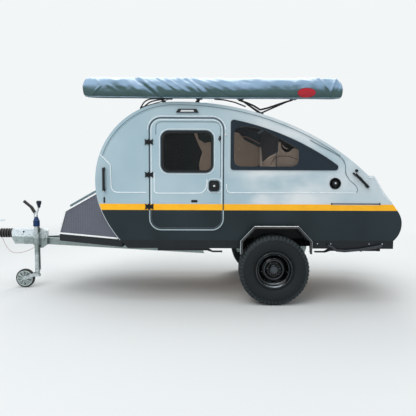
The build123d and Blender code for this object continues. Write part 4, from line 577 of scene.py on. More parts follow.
# Mesh making
class Form:
    """A mesh gathered from simple shapes. A star in a name stands for the side that is being made."""

    side, sign = "left", -1

    def __init__(self):
        self.mesh = bmesh.new()

    def skin(self, rings, closed_ring=True, closed_path=False, caps=True):
        """Faces between rings of points; the first and last ring get a cap."""
        made = [[self.mesh.verts.new(point) for point in ring] for ring in rings]
        count = len(made[0])
        for first, second in list(zip(made, made[1:])) + ([(made[-1], made[0])] if closed_path else []):
            for i in range(count if closed_ring else count - 1):
                j = (i + 1) % count
                self.mesh.faces.new((first[i], first[j], second[j], second[i]))
        if caps and not closed_path and closed_ring:
            self.mesh.faces.new(list(reversed(made[0])))
            self.mesh.faces.new(made[-1])
        return made

    def strip(self, first, second):
        """An open ribbon between two lines of points."""
        self.skin(list(zip(first, second)), closed_ring=False, caps=False)

    def prism(self, outline, low, high, axis="Y"):
        """A flat outline carried from one place to another along an axis."""
        self.skin([[place(point, level, axis) for point in outline] for level in (low, high)])

    def frame(self, outer, inner, low, high, axis="Y"):
        """A flat ring between two outlines with as many points each."""
        edges = ((outer, low), (outer, high), (inner, high), (inner, low))
        self.skin([[place(point, level, axis) for point in line] for line, level in edges], closed_path=True)

    def rod(self, points, radius, sides=8, closed=False, spin=0.0, flat=1.0):
        """A bar along points; its section is a regular polygon, flattened if asked."""
        points = [Vector(point) for point in points]
        rings, up = [], None
        for i, point in enumerate(points):
            before = points[i - 1] if i or closed else point
            after = points[(i + 1) % len(points)] if i < len(points) - 1 or closed else point
            along_in = (point - before).normalized() if point != before else (after - point).normalized()
            along_out = (after - point).normalized() if after != point else along_in
            along = (along_in + along_out).normalized()
            if up is None:
                up = Vector((0, 0, 1)) if abs(along.z) < 0.9 else Vector((0, 1, 0))
            across = along.cross(up).normalized()
            up = across.cross(along).normalized()
            wide = across * (radius / max(0.5, along.dot(along_in)))
            angles = [radians(spin) + 2 * pi * k / sides for k in range(sides)]
            rings.append([point + wide * cos(angle) + up * (radius * flat * sin(angle)) for angle in angles])
        self.skin(rings, closed_path=closed)

    def turned(self, profile, centre, axis, steps=40):
        """A profile of (along, radius) turned about an axis; a radius of 0 closes an end."""
        axis = Vector(axis).normalized()
        across = axis.cross(Vector((0, 0, 1)) if abs(axis.z) < 0.9 else Vector((1, 0, 0))).normalized()
        up = across.cross(axis)
        spokes_round = [across * cos(2 * pi * k / steps) + up * sin(2 * pi * k / steps) for k in range(steps)]
        self.skin([
            [Vector(centre) + axis * along + spoke * max(radius, 0.00002) for spoke in spokes_round]
            for along, radius in profile])

    def bolt(self, centre, axis, size, washer=True):
        """A hexagon bolt head on a washer, standing along an axis."""
        if washer:
            self.turned(((-0.001, size * 1.1), (0.0015, size * 1.1), (0.002, size)), centre, axis, 20)
        head = ((0.0015, size * 0.8), (size * 0.75, size * 0.8), (size * 0.9, size * 0.62))
        self.turned(head, centre, axis, 6)

    def out(self, distance=0.0):
        """Place across the trailer, so far outside the wall of the side that is being made."""
        return self.sign * (HALF_WIDTH + distance)

    def plate(self, outline, low, high):
        """A flat outline on the side's wall, between two distances outside it."""
        self.prism(outline, self.out(low), self.out(high))

    def collar(self, outer, inner, low, high):
        """A flat ring on the side's wall, between two distances outside it."""
        self.frame(outer, inner, self.out(low), self.out(high))

    def line(self, points, distance, radius, corner=None, **more):
        """A rod along a line of the side view, its corners rounded if asked."""
        self.rod(upright(bent(points, corner) if corner else points, self.out(distance)), radius, **more)

    def stud(self, profile, x, z, steps=28):
        """A turned shape that stands on the side's wall."""
        self.turned(profile, (x, self.out(), z), (0, self.sign, 0), steps)

    def piece(self, name, material, edge=0.0, body="trailer", smooth=38.0, replaces=(), thick=0.0):
        """Makes the object, lets it ride on its body, and empties the form for the next piece."""
        name, body = name.replace("*", self.side), body.replace("*", self.side)
        bmesh.ops.recalc_face_normals(self.mesh, faces=self.mesh.faces)
        data = bpy.data.meshes.new(name)
        self.mesh.to_mesh(data)
        self.mesh.free()
        self.mesh = bmesh.new()
        data.materials.append(material)
        data.shade_smooth()
        data.set_sharp_from_angle(angle=radians(smooth))
        made = link(name, data)
        if thick:
            shell = made.modifiers.new("sheet", "SOLIDIFY")
            shell.thickness = thick
            shell.offset = 0
        if edge:
            round_edges(made, edge, 40.0)
        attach(made, body)
        if replaces:
            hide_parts(*replaces)
        return made


form = Form()

# Breakaway cable
CABLE_ROUTE = (
    (-1.824, -0.0575, 0.513), (-1.862, -0.0575, 0.480), (-1.908, -0.054, 0.453), (-1.960, -0.050, 0.433),
    (-2.014, -0.045, 0.419), (-2.068, -0.039, 0.411), (-2.117, -0.033, 0.413), (-2.160, -0.027, 0.428),
    (-2.196, -0.020, 0.458), (-2.226, -0.013, 0.498), (-2.249, -0.006, 0.540), (-2.265, 0.0, 0.578),
    (-2.276, 0.0, 0.608),
)
CABLE_DIAMETER = 0.004


def make_cable():
    """The thin red cable that hangs under the coupling."""
    curve = bpy.data.curves.new("breakaway_wire", "CURVE")
    curve.dimensions = "3D"
    curve.bevel_depth = CABLE_DIAMETER / 2
    curve.bevel_resolution = 4
    curve.resolution_u = 12
    spline = curve.splines.new("NURBS")
    spline.points.add(len(CABLE_ROUTE) - 1)
    for point, spot in zip(spline.points, CABLE_ROUTE):
        point.co = (*spot, 1.0)
    spline.order_u = 3
    spline.use_endpoint_u = True
    curve.materials.append(CABLE_RED)
    wire = link("breakaway_wire", curve)
    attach(wire, "trailer")
    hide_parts("breakaway_cable")


make_cable()

# Moulded lines of the sides: radius of a bead, its distance outside the wall, the rim's under the skin
BEAD, PROUD, RIM_INSET = 0.0055, 0.0005, 0.034
FIELD_FRONT = ((-0.8165, 1.640), (-0.784, 1.615), (-0.704, 1.529), (-0.697, 1.232), (-0.313, 1.232))
FIELD_REAR = ((0.560, 1.330), (0.562, 1.234), (1.975, 1.234))
FIELD_TAIL = (
    (1.460, 1.806), (1.567, 1.746), (1.732, 1.664), (1.812, 1.610), (1.848, 1.545), (1.855, 1.440),
    (1.900, 1.372), (1.968, 1.315), (1.993, 1.270), (1.975, 1.236),
)
TAIL_EDGE = ((2.103, 1.404), (2.156, 1.410), (2.175, 1.399), (2.283, 1.208), (2.340, 1.150))
DOOR_PANEL_LOW = (
    (-0.228, 1.450), (-0.228, 1.224), (0.290, 1.226), (0.334, 1.270), (0.346, 1.330), (0.347, 1.380))
DOOR_PANEL_HIGH = ((-0.210, 1.860), (-0.210, 1.996), (0.494, 1.996), (0.494, 1.400))
LATCH_FIELD = (0.352, 0.503, 1.232, 1.381, 0.045)
# Lowest point and both ends of the line along the rim of the body
RIM_LOW, RIM_FRONT, RIM_REAR = 1.62, -0.83, 1.88


def make_side_lines():
    """Rounded edges of the moulded field, of the rim and of the door's frame, as beads coloured with painted
    highlight and painted shade.
    """
    form.line(FIELD_FRONT, PROUD, BEAD, (0.0, 0.04, 0.04, 0.078, 0.0))
    form.line(FIELD_REAR, PROUD, BEAD, (0.0, 0.095, 0.0))
    # Line round the door, open at its foot: it starts at its lowest point behind the door
    outer = [point for point in rounded(*DOOR, -0.019) if point[1] > STRIPE_HIGH]
    start = max(range(len(outer)), key=lambda i: (outer[i][0] > 0) * 10 - outer[i][1])
    form.line(outer[start:] + outer[:start], PROUD, BEAD * 0.8)
    form.line(TAIL_EDGE, PROUD, BEAD, 0.02)
    form.piece("side_lines_*", HIGHLIGHT_RIDGE)
    rim = [(x, z) for x, z in skin_line(RIM_INSET) if z > RIM_LOW and RIM_FRONT < x < RIM_REAR]
    form.line(rim, PROUD, BEAD * 0.7)
    form.line(FIELD_TAIL, PROUD, BEAD * 0.7, 0.06)
    form.piece("rim_lines_*", SHADE_RIDGE)
    form.collar(rounded(*DOOR, -0.0060), rounded(*DOOR, 0.0065), -0.004, 0.003)
    form.piece("door_edge_*", DOOR_EDGE_SHADE_HIGHLIGHT, 0.0008, "door_on_*")
    form.collar(rounded(*DOOR, -0.007), rounded(*DOOR, -0.002), -0.026, -0.009)
    form.piece("door_seal_*", RUBBER)
    form.line(rounded(*DOOR, 0.020), PROUD, BEAD * 0.8, closed=True)
    form.line(DOOR_PANEL_LOW, PROUD, BEAD, (0.0, 0.04, 0.06, 0.06, 0.06, 0.0))
    form.line(rounded(*LATCH_FIELD), PROUD, BEAD * 0.8, closed=True)
    form.line(rounded(*DOOR_WINDOW, -0.0145), PROUD, BEAD * 0.8, closed=True)
    form.piece("door_lines_*", HIGHLIGHT_RIDGE, body="door_on_*")
    form.line(DOOR_PANEL_HIGH, PROUD, BEAD * 0.8, (0.0, 0.085, 0.085, 0.0))
    form.line(rounded(*DOOR_WINDOW, -0.0045), PROUD, BEAD, closed=True)
    form.piece("door_shades_*", SHADE_RIDGE, body="door_on_*")


# Clear part of the long window: its corners, their radii, and a point within it
CLEAR_PANE = ((0.638, 1.519), (1.342, 1.519), (1.342, 1.706), (0.915, 1.936), (0.638, 1.950))
CLEAR_RADII = (0.085, 0.085, 0.045, 0.12, 0.085)
PANE_MIDDLE = (0.97, 1.69)
# Front edge and foot of the long window, and its distance under the skin
SIDE_WINDOW = (0.600, 1.479, 0.132)
SPOKES = 240


def window_outline(inset):
    """Outline of the long window's frame in side view, drawn in by an inset."""
    x0, z0, under_skin = (value + inset for value in SIDE_WINDOW)
    over = [point for point in skin_line(under_skin, 1.0) if point[0] > x0 and point[1] > z0]
    front = [(x0, z0 + 0.1 * k) for k in range(5)]
    return [*front, (x0, skin_height(x0, under_skin)), *over, (over[-1][0], z0)]


def spokes(outline, middle=PANE_MIDDLE):
    """An outline as points at even angles round a middle, so that two outlines make a frame."""
    points = []
    for k in range(SPOKES):
        c, s = cos(2 * pi * k / SPOKES), sin(2 * pi * k / SPOKES)
        best = 0.0
        for (xa, za), (xb, zb) in zip(outline, outline[1:] + outline[:1]):
            ax, az, bx, bz = xa - middle[0], za - middle[1], xb - xa, zb - za
            across = c * bz - s * bx
            if abs(across) > 1e-9:
                reach = (ax * bz - az * bx) / across
                along = (ax * s - az * c) / across
                if reach > best and -1e-6 <= along <= 1 + 1e-6:
                    best = reach
        points.append((middle[0] + c * best, middle[1] + s * best))
    return points


def clear_pane(grow=0.0):
    """Outline of the clear part of the long window, grown away from its middle."""
    points = []
    for x, z in spokes(bent(CLEAR_PANE, CLEAR_RADII, closed=True)):
        u, v = x - PANE_MIDDLE[0], z - PANE_MIDDLE[1]
        points.append((x + grow * u / hypot(u, v), z + grow * v / hypot(u, v)))
    return points


def make_windows():
    """Dark border of the long window and the tan reveal round its clear part."""
    form.collar(spokes(window_outline(0.0255)), clear_pane(), -0.0002, 0.0015)
    form.piece("window_border_*", BLACK_ACRYLIC, 0.0004)
    reveal = clear_pane(0.008)
    form.collar(clear_pane(0.03), reveal, -0.034, -0.031)
    form.line(reveal, -0.034, 0.006, closed=True)
    form.piece("window_reveal_*", LINING)


# Linings that show through the windows, in side view or across the lockers' face
DOOR_BLIND_SHADE_OUTLINE = (-0.279, 0.524, 1.300, 2.036, 0.124)
DOOR_CARD = (
    (0.200, 2.002), (0.221, 1.910), (0.311, 1.854), (0.392, 1.880), (0.412, 1.800), (0.417, 1.538),
    (0.388, 1.454), (0.241, 1.448), (0.226, 1.537), (0.241, 1.631), (0.274, 1.724), (0.227, 1.817),
    (0.186, 1.909), (0.152, 1.993),
)
DOOR_CARD_SEAM = ((0.262, 1.460), (0.272, 1.538), (0.312, 1.650), (0.387, 1.715))
WALL_CARD = ((0.700, 2.020), (0.800, 2.000), (0.872, 1.905), (1.078, 1.801), (1.094, 1.531), (0.690, 1.500))
LOCKER_FACE = 1.100
LOCKER_CARD = ((0.369, 1.506), (0.369, 1.573), (-0.263, 1.63), (-0.828, 1.655), (-0.828, 1.505))
LOCKER_SEAM = ((-0.447, 1.546), (-0.707, 1.604), (-0.894, 1.622))
LOCKER_STRIP = ((0.801, 1.802), (0.679, 1.797), (0.424, 1.519), (0.714, 1.506))
END_CARD = (
    (1.107, 1.505), (1.107, 1.661), (1.122, 1.673), (1.129, 1.785), (1.147, 1.791), (1.156, 1.712),
    (1.201, 1.67), (1.246, 1.683), (1.277, 1.714), (1.328, 1.725), (1.368, 1.705), (1.368, 1.505),
)
END_SEAM = ((1.109, 1.623), (1.131, 1.633), (1.237, 1.632), (1.328, 1.597))
END_ROLL = ((1.164, 1.754), (1.18, 1.734), (1.201, 1.716), (1.221, 1.712))
LINING_MIDDLE = (0.1225, 1.43)


def make_linings():
    """Wall and roof linings in felt darkened as painted shade, dark blinds drawn in the far windows as
    painted shade, tan cards on the far wall and on the lockers.
    """
    inner = HALF_WIDTH - WALL
    shell = [point for point in skin_line(0.036, 1.0) if point[1] > 0.95 and point[0] < 1.36]
    opening = spokes(rounded(*DOOR, -0.012), LINING_MIDDLE)
    form.frame(spokes([*shell, (1.36, 0.95)], LINING_MIDDLE), opening, inner - 0.0045, inner - 0.0075)
    form.piece("wall_lining", FELT_AND_SHADE)
    roof = [point for point in skin_line(0.0345, 1.0) if point[1] > 1.10 and point[0] < 1.09]
    form.strip(upright(roof, -0.818), upright(roof, 0.818))
    form.piece("roof_lining", FELT_AND_SHADE, thick=0.002)
    form.prism(rounded(*DOOR_BLIND_SHADE_OUTLINE), inner - 0.001, inner - 0.004)
    form.piece("door_blind", DARK_BLIND_SHADE, body="door_on_right")
    form.prism(bent(DOOR_CARD, 0.03, closed=True), inner - 0.005, inner - 0.012)
    form.rod(upright(DOOR_CARD_SEAM, inner - 0.013), 0.004)
    form.piece("door_card", TAN_CARD, 0.002, "door_on_right")
    form.prism(window_outline(0.006), inner - 0.001, inner - 0.004)
    form.piece("long_blind", DARK_BLIND_SHADE)
    form.prism(bent(WALL_CARD, 0.04, closed=True), inner - 0.008, inner - 0.016)
    form.prism(bent(LOCKER_CARD, 0.01, closed=True), LOCKER_FACE, LOCKER_FACE - 0.008, "X")
    form.prism(bent(END_CARD, 0.02, closed=True), -inner, -inner - 0.006)
    form.rod(upright(bent(END_ROLL, 0.05), -inner - 0.003), 0.007)
    form.piece("tan_cards", TAN_CARD, 0.0015)
    form.prism(LOCKER_STRIP, LOCKER_FACE - 0.001, LOCKER_FACE - 0.014, "X")
    form.rod([place(point, LOCKER_FACE - 0.008, "X") for point in LOCKER_CARD[1:4]], 0.007)
    form.rod(upright(END_CARD[1:4], -inner - 0.006), 0.004)
    for z in (1.866, 1.773):
        form.turned(((0.0, 0.010), (0.004, 0.009), (0.005, 0.0)), (0.800, inner - 0.016, z), (0, -1, 0), 16)
    form.piece("card_edging", TAN_LIGHT, 0.001)
    form.rod([place(point, LOCKER_FACE - 0.0085, "X") for point in LOCKER_SEAM], 0.004)
    form.rod(upright(bent(END_SEAM, 0.05), -inner - 0.006), 0.003)
    form.piece("card_seams", FELT_AND_SHADE)


# Door fittings
HINGE_X, HINGE_HEIGHTS = -0.2835, (1.077, 1.425, 1.778)
# Open slot below the door's window; hook and stud that hold the door open
DOOR_SLOT = (0.177, 0.240, 1.129, 1.148, 0.009)
HOOK, STUD = (0.481, 1.816), (0.548, 1.861)


def make_door_fittings():
    """Latch, lock cylinder, slot, hinge screws and the hook that holds the door open."""
    x, z = DOOR_LATCH
    outer = rounded(x - 0.058, x + 0.058, z - 0.058, z + 0.058, 0.028)
    form.collar(outer, rounded(x - 0.048, x + 0.048, z - 0.048, z + 0.048, 0.02), 0.019, 0.024)
    form.stud(((0.019, 0.036), (0.024, 0.036), (0.027, 0.032), (0.027, 0.018), (0.024, 0.0)), x, z, 40)
    form.plate(rounded(x - 0.030, x + 0.030, z + 0.028, z + 0.040, 0.004), 0.02, 0.026)
    form.piece("latch_bezel_*", MOULDING, 0.001, "door_on_*")
    form.stud(((0.024, 0.0115), (0.029, 0.0115), (0.030, 0.0105), (0.030, 0.0)), x, z)
    form.piece("latch_cylinder_*", CHROME, 0.0004, "door_on_*")
    form.plate(rounded(*DOOR_SLOT), 0.0, 0.0025)
    form.collar(rounded(0.173, 0.244, 1.125, 1.152, 0.012), rounded(*DOOR_SLOT), 0.0, 0.004)
    x, z = HOOK
    form.stud(((0.0, 0.016), (0.006, 0.016), (0.008, 0.013), (0.008, 0.0)), x, z, 24)
    bend = ((x, 0.006, z + 0.019), (x + 0.003, 0.014, z + 0.026), (x - 0.001, 0.016, z - 0.026))
    form.rod([(x, form.out(y), z) for x, y, z in bend], 0.005)
    form.piece("door_hook_*", MOULDING, 0.0008, "door_on_*")
    form.stud(((0.006, 0.009), (0.012, 0.009), (0.0125, 0.0)), HOOK[0], HOOK[1] + 0.006, 20)
    form.piece("hook_pin_*", WHITE_MOULDING, body="door_on_*")
    form.stud(((0.0, 0.012), (0.004, 0.012), (0.0045, 0.006), (0.012, 0.006), (0.0125, 0.0)), *STUD, 20)
    form.piece("hook_stud_*", CHROME)
    for run, leaf, body in ((1, "rear", "door_on_*"), (-1, "front", "trailer")):
        for z in HINGE_HEIGHTS:
            for step in (-1, 0, 1):
                root, tip = HINGE_X + run * 0.010, HINGE_X + run * (0.044 if step else 0.034)
                low, high = z + step * 0.008, z + step * 0.024
                end = ((tip, high - 0.0065), (tip + run * 0.004, high), (tip, high + 0.0065))
                form.plate(((root, low - 0.009), *end, (root, low + 0.009)), 0.0005, 0.009)
                form.bolt((tip - run * 0.005, form.out(0.009), high - step * 0.002), (0, form.sign, 0), 0.005)
        form.piece(f"hinge_straps_*_{leaf}", POWDER, 0.0006, body)


# Fittings of the side walls: the rail's ends and height, and the grab handles' lines and screws
LIGHT_LENS = ((0.058, 2.101), (0.206, 2.101), (0.198, 2.119), (0.066, 2.119))
NOSE_SLOT = (-0.784, -0.766, 1.117, 1.181, 0.008)
SIDE_BUTTON = (1.971, 1.478)
HANDLE_SCREWS = ((-0.773, 1.247), (-0.773, 1.500), (2.097, 1.298), (1.946, 1.446))
RAIL_LINE = (1.705, 2.238, 1.1135)
REAR_GRIP = ((1.922, 1.450), (1.960, 1.436), (2.006, 1.398), (2.056, 1.340), (2.092, 1.294))
FRONT_GRIP = ((-0.772, 1.255), (-0.774, 1.370), (-0.770, 1.490))


def make_wall_fittings():
    """Lock face, light lens, slot at the nose, button and rail at the tail, grab handles and their screws."""
    x, z, radius = LOCK
    face = (
        (0.002, radius), (0.006, radius - 0.001), (0.007, radius - 0.006), (0.004, radius - 0.012),
        (0.004, 0.034), (0.009, 0.032), (0.011, 0.026), (0.011, 0.0))
    form.stud(face, x, z, 48)
    form.plate(rounded(x - 0.007, x + 0.007, z - 0.050, z - 0.022, 0.006), 0.004, 0.012)
    form.piece("lock_bezel_*", MOULDING, 0.0006)
    form.stud(((0.010, 0.010), (0.0145, 0.010), (0.0155, 0.0085), (0.0155, 0.0)), x, z + 0.004)
    form.piece("lock_cylinder_*", CHROME, 0.0004)
    form.plate(LIGHT_LENS, 0.018, 0.0215)
    form.piece("light_lens_*", CLEAR_LENS, 0.001)
    form.plate(rounded(*NOSE_SLOT), 0.0, 0.006)
    form.stud(((0.0, 0.016), (0.012, 0.015), (0.016, 0.012), (0.018, 0.0)), *SIDE_BUTTON)
    x0, x1, z = RAIL_LINE
    form.plate(rounded(x0, x1, z - 0.005, z + 0.006, 0.004), 0.0, 0.006)
    for x in (x0 + 0.004, x1 - 0.004):
        form.plate(rounded(x - 0.006, x + 0.006, z - 0.009, z + 0.012, 0.004), 0.0, 0.009)
    form.piece("wall_trims_*", MOULDING, 0.0008)
    form.plate(((x0, z - 0.011), (x1, z - 0.011), (x1, z - 0.006), (x0, z - 0.006)), 0.0, 0.0035)
    form.piece("rail_line_*", WHITE_MOULDING)
    form.line(REAR_GRIP, 0.034, 0.0125, 0.08, sides=10, flat=0.8)
    form.line(FRONT_GRIP, 0.034, 0.0115, sides=10, flat=0.8)
    form.piece("handle_grips_*", MOULDING)
    for x, z in HANDLE_SCREWS:
        form.bolt((x, form.out(0.042), z), (0, form.sign, 0), 0.006, False)
    form.piece("handle_screws_*", CHROME)


# Wheels and tyres: tread pitches round a tyre, half its width
PITCHES, TYRE_HALF = 54, 0.1225
# Half section of the tyre: distance outwards, radius
TYRE_SECTION = (
    (0.0736, 0.194), (0.0760, 0.2105), (0.0800, 0.2125), (0.0905, 0.2150), (0.1020, 0.2200),
    (0.1105, 0.2310), (0.1130, 0.2400), (0.1145, 0.2425), (0.1155, 0.2520), (0.1185, 0.2600),
    (0.1215, 0.2780), (0.1222, 0.2990), (0.1205, 0.3180), (0.1180, 0.3340), (0.1120, 0.3460),
    (0.1080, 0.3580), (0.1010, 0.3680), (0.0900, 0.3735), (0.0500, 0.3750), (0.0, 0.3755),
)
TYRE_LINER = (
    (-0.060, 0.196), (-0.070, 0.245), (-0.104, 0.300), (-0.094, 0.352), (0.094, 0.352), (0.104, 0.300),
    (0.070, 0.245), (0.060, 0.196),
)
# Tread blocks: across from, across to, share of the pitch, slant across the tread, start within the pitch
TREAD_BLOCKS = ((0.004, 0.040, 0.60, 0.16, 0.0), (0.046, 0.082, 0.62, -0.12, 0.5))
# Rows of a shoulder lug: distance outwards, radius
LUG_ROWS = ((0.088, 0.3835), (0.1015, 0.3805), (0.1115, 0.3700), (0.1190, 0.3520))
VALVE_TURN = 100 / 360


def wheel_point(turn, radius, across):
    """A point on a road wheel: turns round it, distance from the axle, distance outwards."""
    u, v = radius * sin(2 * pi * turn), radius * cos(2 * pi * turn)
    return Vector((AXLE_X + u, form.sign * (TRACK_HALF + across), WHEEL_Z + v))


def wheel_ring(radius, across, thick, count=96):
    """A thin round bead on a road wheel."""
    form.rod([wheel_point(k / count, radius, across) for k in range(count)], thick, closed=True)


def make_tyre_piece():
    """All-terrain tyre: ringed sidewalls, staggered tread blocks and shoulder lugs."""
    section = [*TYRE_SECTION, *[(-a, r) for a, r in TYRE_SECTION[-2::-1]], *TYRE_LINER]
    steps = PITCHES * 2
    form.skin([[wheel_point(k / steps, r, a) for a, r in section] for k in range(steps)], closed_path=True)
    for number in range(PITCHES):
        rows = (*LUG_ROWS, (TYRE_HALF, 0.330 if number % 2 else 0.342))
        for hand in (-1, 1):
            base = number if hand > 0 else number + 0.5
            for low, high, share, slant, start in TREAD_BLOCKS:
                levels = []
                for radius, edge, draw in ((0.372, 0.0, 0.0), (0.3846, 0.08 * share, 0.001)):
                    corners = (
                        (edge, low + draw), (share - edge, low + draw), (share - edge + slant, high - draw),
                        (edge + slant, high - draw))
                    turns = [((base + start + turn) / PITCHES, hand * across) for turn, across in corners]
                    levels.append([wheel_point(turn, radius, across) for turn, across in turns])
                form.skin(levels)
            lug = []
            for across, radius in rows:
                lug.append([
                    wheel_point((base + 0.1 + 0.64 * share) / PITCHES, radius - sink, hand * (across - sink))
                    for share, sink in ((0.06, 0.0), (0.94, 0.0), (1.0, 0.012), (0.0, 0.012))])
            form.skin(lug)
    tyre = f"tyre_{form.side}"
    form.piece("tyre_tread_*", TYRE, body="wheel_on_*", replaces=(tyre,), smooth=30)


def make_wheel_details():
    """Nuts, hub cap, valve and the raised edge of the disc; cap, disc ring and rim rings are painted
    highlight, the brake drum painted shade.
    """
    out = Vector((0, form.sign, 0))
    centre = wheel_point(0.0, 0.0, 0.0)
    centre.z = WHEEL_Z
    nut = ((0.012, 0.0155), (0.018, 0.0155), (0.019, 0.0112), (0.038, 0.0112), (0.042, 0.007), (0.042, 0.0))
    for number in range(6):
        form.turned(nut, wheel_point((2 * number + 1) / 12, 0.070, 0.0), out, 6)
    form.piece("wheel_nuts_*", WHEEL_ENAMEL, body="wheel_on_*")
    cap = (
        (0.045, 0.0462), (0.050, 0.0462), (0.060, 0.040), (0.062, 0.030), (0.059, 0.027), (0.059, 0.010),
        (0.061, 0.0))
    form.turned(cap, centre, out)
    wheel_ring(0.104, 0.034, 0.0055, 72)
    form.piece("wheel_cap_*", WHEEL_CAP_HIGHLIGHT, body="wheel_on_*")
    wheel_ring(0.194, 0.0795, 0.0032)
    wheel_ring(0.1700, 0.052, 0.0026)
    form.piece("rim_lip_*", RIM_RING_HIGHLIGHT, body="wheel_on_*")
    drum = ((-0.062, 0.0), (-0.062, 0.165), (-0.012, 0.165), (-0.006, 0.150), (-0.004, 0.060), (-0.004, 0.0))
    form.turned(drum, centre, out, 48)
    form.piece("brake_drum_*", SHADE_LINING, body="wheel_on_*")
    stem, tip = wheel_point(VALVE_TURN, 0.158, 0.034), wheel_point(VALVE_TURN, 0.150, 0.070)
    valve = ((0.0, 0.006), (0.02, 0.005), (0.026, 0.0052), (0.036, 0.0052), (0.038, 0.0))
    form.turned(valve, stem, tip - stem, 12)
    form.piece("wheel_valve_*", RUBBER, body="wheel_on_*")


# Flares: middle of the arch along the trailer, the flare's width, then places from that middle and heights
ARCH_X, FLARE_OUT = 1.098, 0.110
ARCH = ((-0.384, 0.577), (-0.384, 0.717), (-0.238, 0.874), (0.238, 0.874), (0.384, 0.717), (0.384, 0.577))
FLARE_BOLTS = (
    (-0.392, 0.640), (-0.318, 0.800), (-0.150, 0.882), (0.0, 0.882), (0.150, 0.882), (0.318, 0.800),
    (0.392, 0.640))
ARCH_LINER = ((-0.376, 0.610), (-0.376, 0.716), (0.425, 0.716), (0.425, 0.618))


def make_flare_details():
    """Rolled edge of the flare, near-white as a painted highlight, its fixing bolts and the near-black lining
    behind the wheel as painted shade.
    """
    line = [(ARCH_X + x * 0.9985, z - 0.0035) for x, z in ARCH]
    form.line(line[:3], FLARE_OUT - 0.0088, 0.0065)
    form.line(line[3:], FLARE_OUT - 0.0088, 0.0065)
    form.piece("flare_sides_*", FLARE_SIDE_HIGHLIGHT)
    form.line(line[2:4], FLARE_OUT - 0.0088, 0.0085)
    form.piece("flare_edge_*", FLARE_EDGE_HIGHLIGHT)
    for x, z in FLARE_BOLTS:
        form.bolt((ARCH_X + x, form.out(), z + 0.006), (0, form.sign, 0), 0.006)
    form.piece("flare_bolts_*", POWDER)
    inner = TRACK_HALF - TYRE_HALF - 0.036 - HALF_WIDTH
    form.plate([(ARCH_X + x, z) for x, z in ARCH_LINER], inner, inner - 0.004)
    form.piece("arch_liner_*", SHADE_LINING)


# Front box: place and half width of its front, widening a metre, front edge of the top, slope of the lid
BOX_FRONT = (-1.432, 0.350)
BOX_TAPER = 0.450 / 0.840
BOX_TOP_FRONT = (-1.339, 0.984)
BOX_SLOPE = radians(27.7)
BOX_FOOT = 0.713


def box_point(x, z, sign, proud=0.0):
    """A point of the front box's tapered side."""
    return Vector((x, sign * (BOX_FRONT[1] + (x - BOX_FRONT[0]) * BOX_TAPER + proud), z))


def make_box_trims():
    """Bright angle strips along the edges of the front box, the nose's trims and the rivets."""
    rear = [point for point in skin_line(-0.010) if point[0] < -0.55 and 0.712 < point[1] < 1.222]
    top_x = rear[-1][0]
    front_foot = (BOX_FRONT[0], BOX_FOOT)
    edges = (
        [front_foot, (rear[0][0], BOX_FOOT)],
        [front_foot, BOX_TOP_FRONT],
        [BOX_TOP_FRONT, (top_x, BOX_TOP_FRONT[1] + (top_x - BOX_TOP_FRONT[0]) * tan(BOX_SLOPE))],
        rear,
    )
    for sign in SIDES.values():
        for edge in edges:
            form.rod([box_point(x, z, sign, 0.003) for x, z in edge], 0.012, 4, spin=45)
    for x, z in (front_foot, BOX_TOP_FRONT):
        form.rod([box_point(x, z, -1), box_point(x, z, 1)], 0.0105, 4, spin=45)
    form.piece("box_edge_trims", BOX_TRIM, 0.001)
    nose = [point for point in skin_line(0.001) if 0.705 < point[1] < 1.222 and point[0] < -0.5]
    for sign in SIDES.values():
        form.rod(upright(nose, sign * (HALF_WIDTH - 0.003)), 0.0042)
    form.piece("nose_trims", NOSE_TRIM)
    for sign in SIDES.values():
        for k in range(9):
            spot = box_point(BOX_FRONT[0] + 0.05 + 0.088 * k, BOX_FOOT + 0.001, sign, 0.009)
            form.turned(((0.0, 0.005), (0.002, 0.0045), (0.003, 0.0)), spot, (0, sign, 0), 10)
    form.piece("box_rivets", CHROME)


def make_lid_details():
    """Pressed rim and ribs, and two toggle catches on the box lid."""
    along = Vector((cos(BOX_SLOPE), 0, sin(BOX_SLOPE)))
    normal = Vector((-sin(BOX_SLOPE), 0, cos(BOX_SLOPE)))

    def on_lid(run, y, rise=0.0425):
        return Vector((BOX_TOP_FRONT[0], y, BOX_TOP_FRONT[1])) + along * run + normal * rise

    front, rear = BOX_FRONT[1] - 0.012, BOX_FRONT[1] + 0.410 * cos(BOX_SLOPE) * BOX_TAPER - 0.014
    rim = [on_lid(0.074, -front), on_lid(0.456, -rear), on_lid(0.456, rear), on_lid(0.074, front)]
    form.rod(bent(rim, 0.02, closed=True), 0.004, closed=True)
    for y in (-0.22, 0.0, 0.22):
        form.rod([on_lid(0.11, y), on_lid(0.43, y * 1.35)], 0.0045)
    form.piece("lid_pressings", ALUMINIUM, body="lid")
    for y in (-0.24, 0.24):
        form.rod([on_lid(0.054, y, 0.028), on_lid(0.054, y, -0.03)], 0.012, 4, spin=45, flat=0.5)
        form.turned(((0.0, 0.012), (0.010, 0.011), (0.012, 0.0)), on_lid(0.056, y, 0.016), -along, 16)
    form.piece("lid_catches", CHROME, 0.001, "lid")


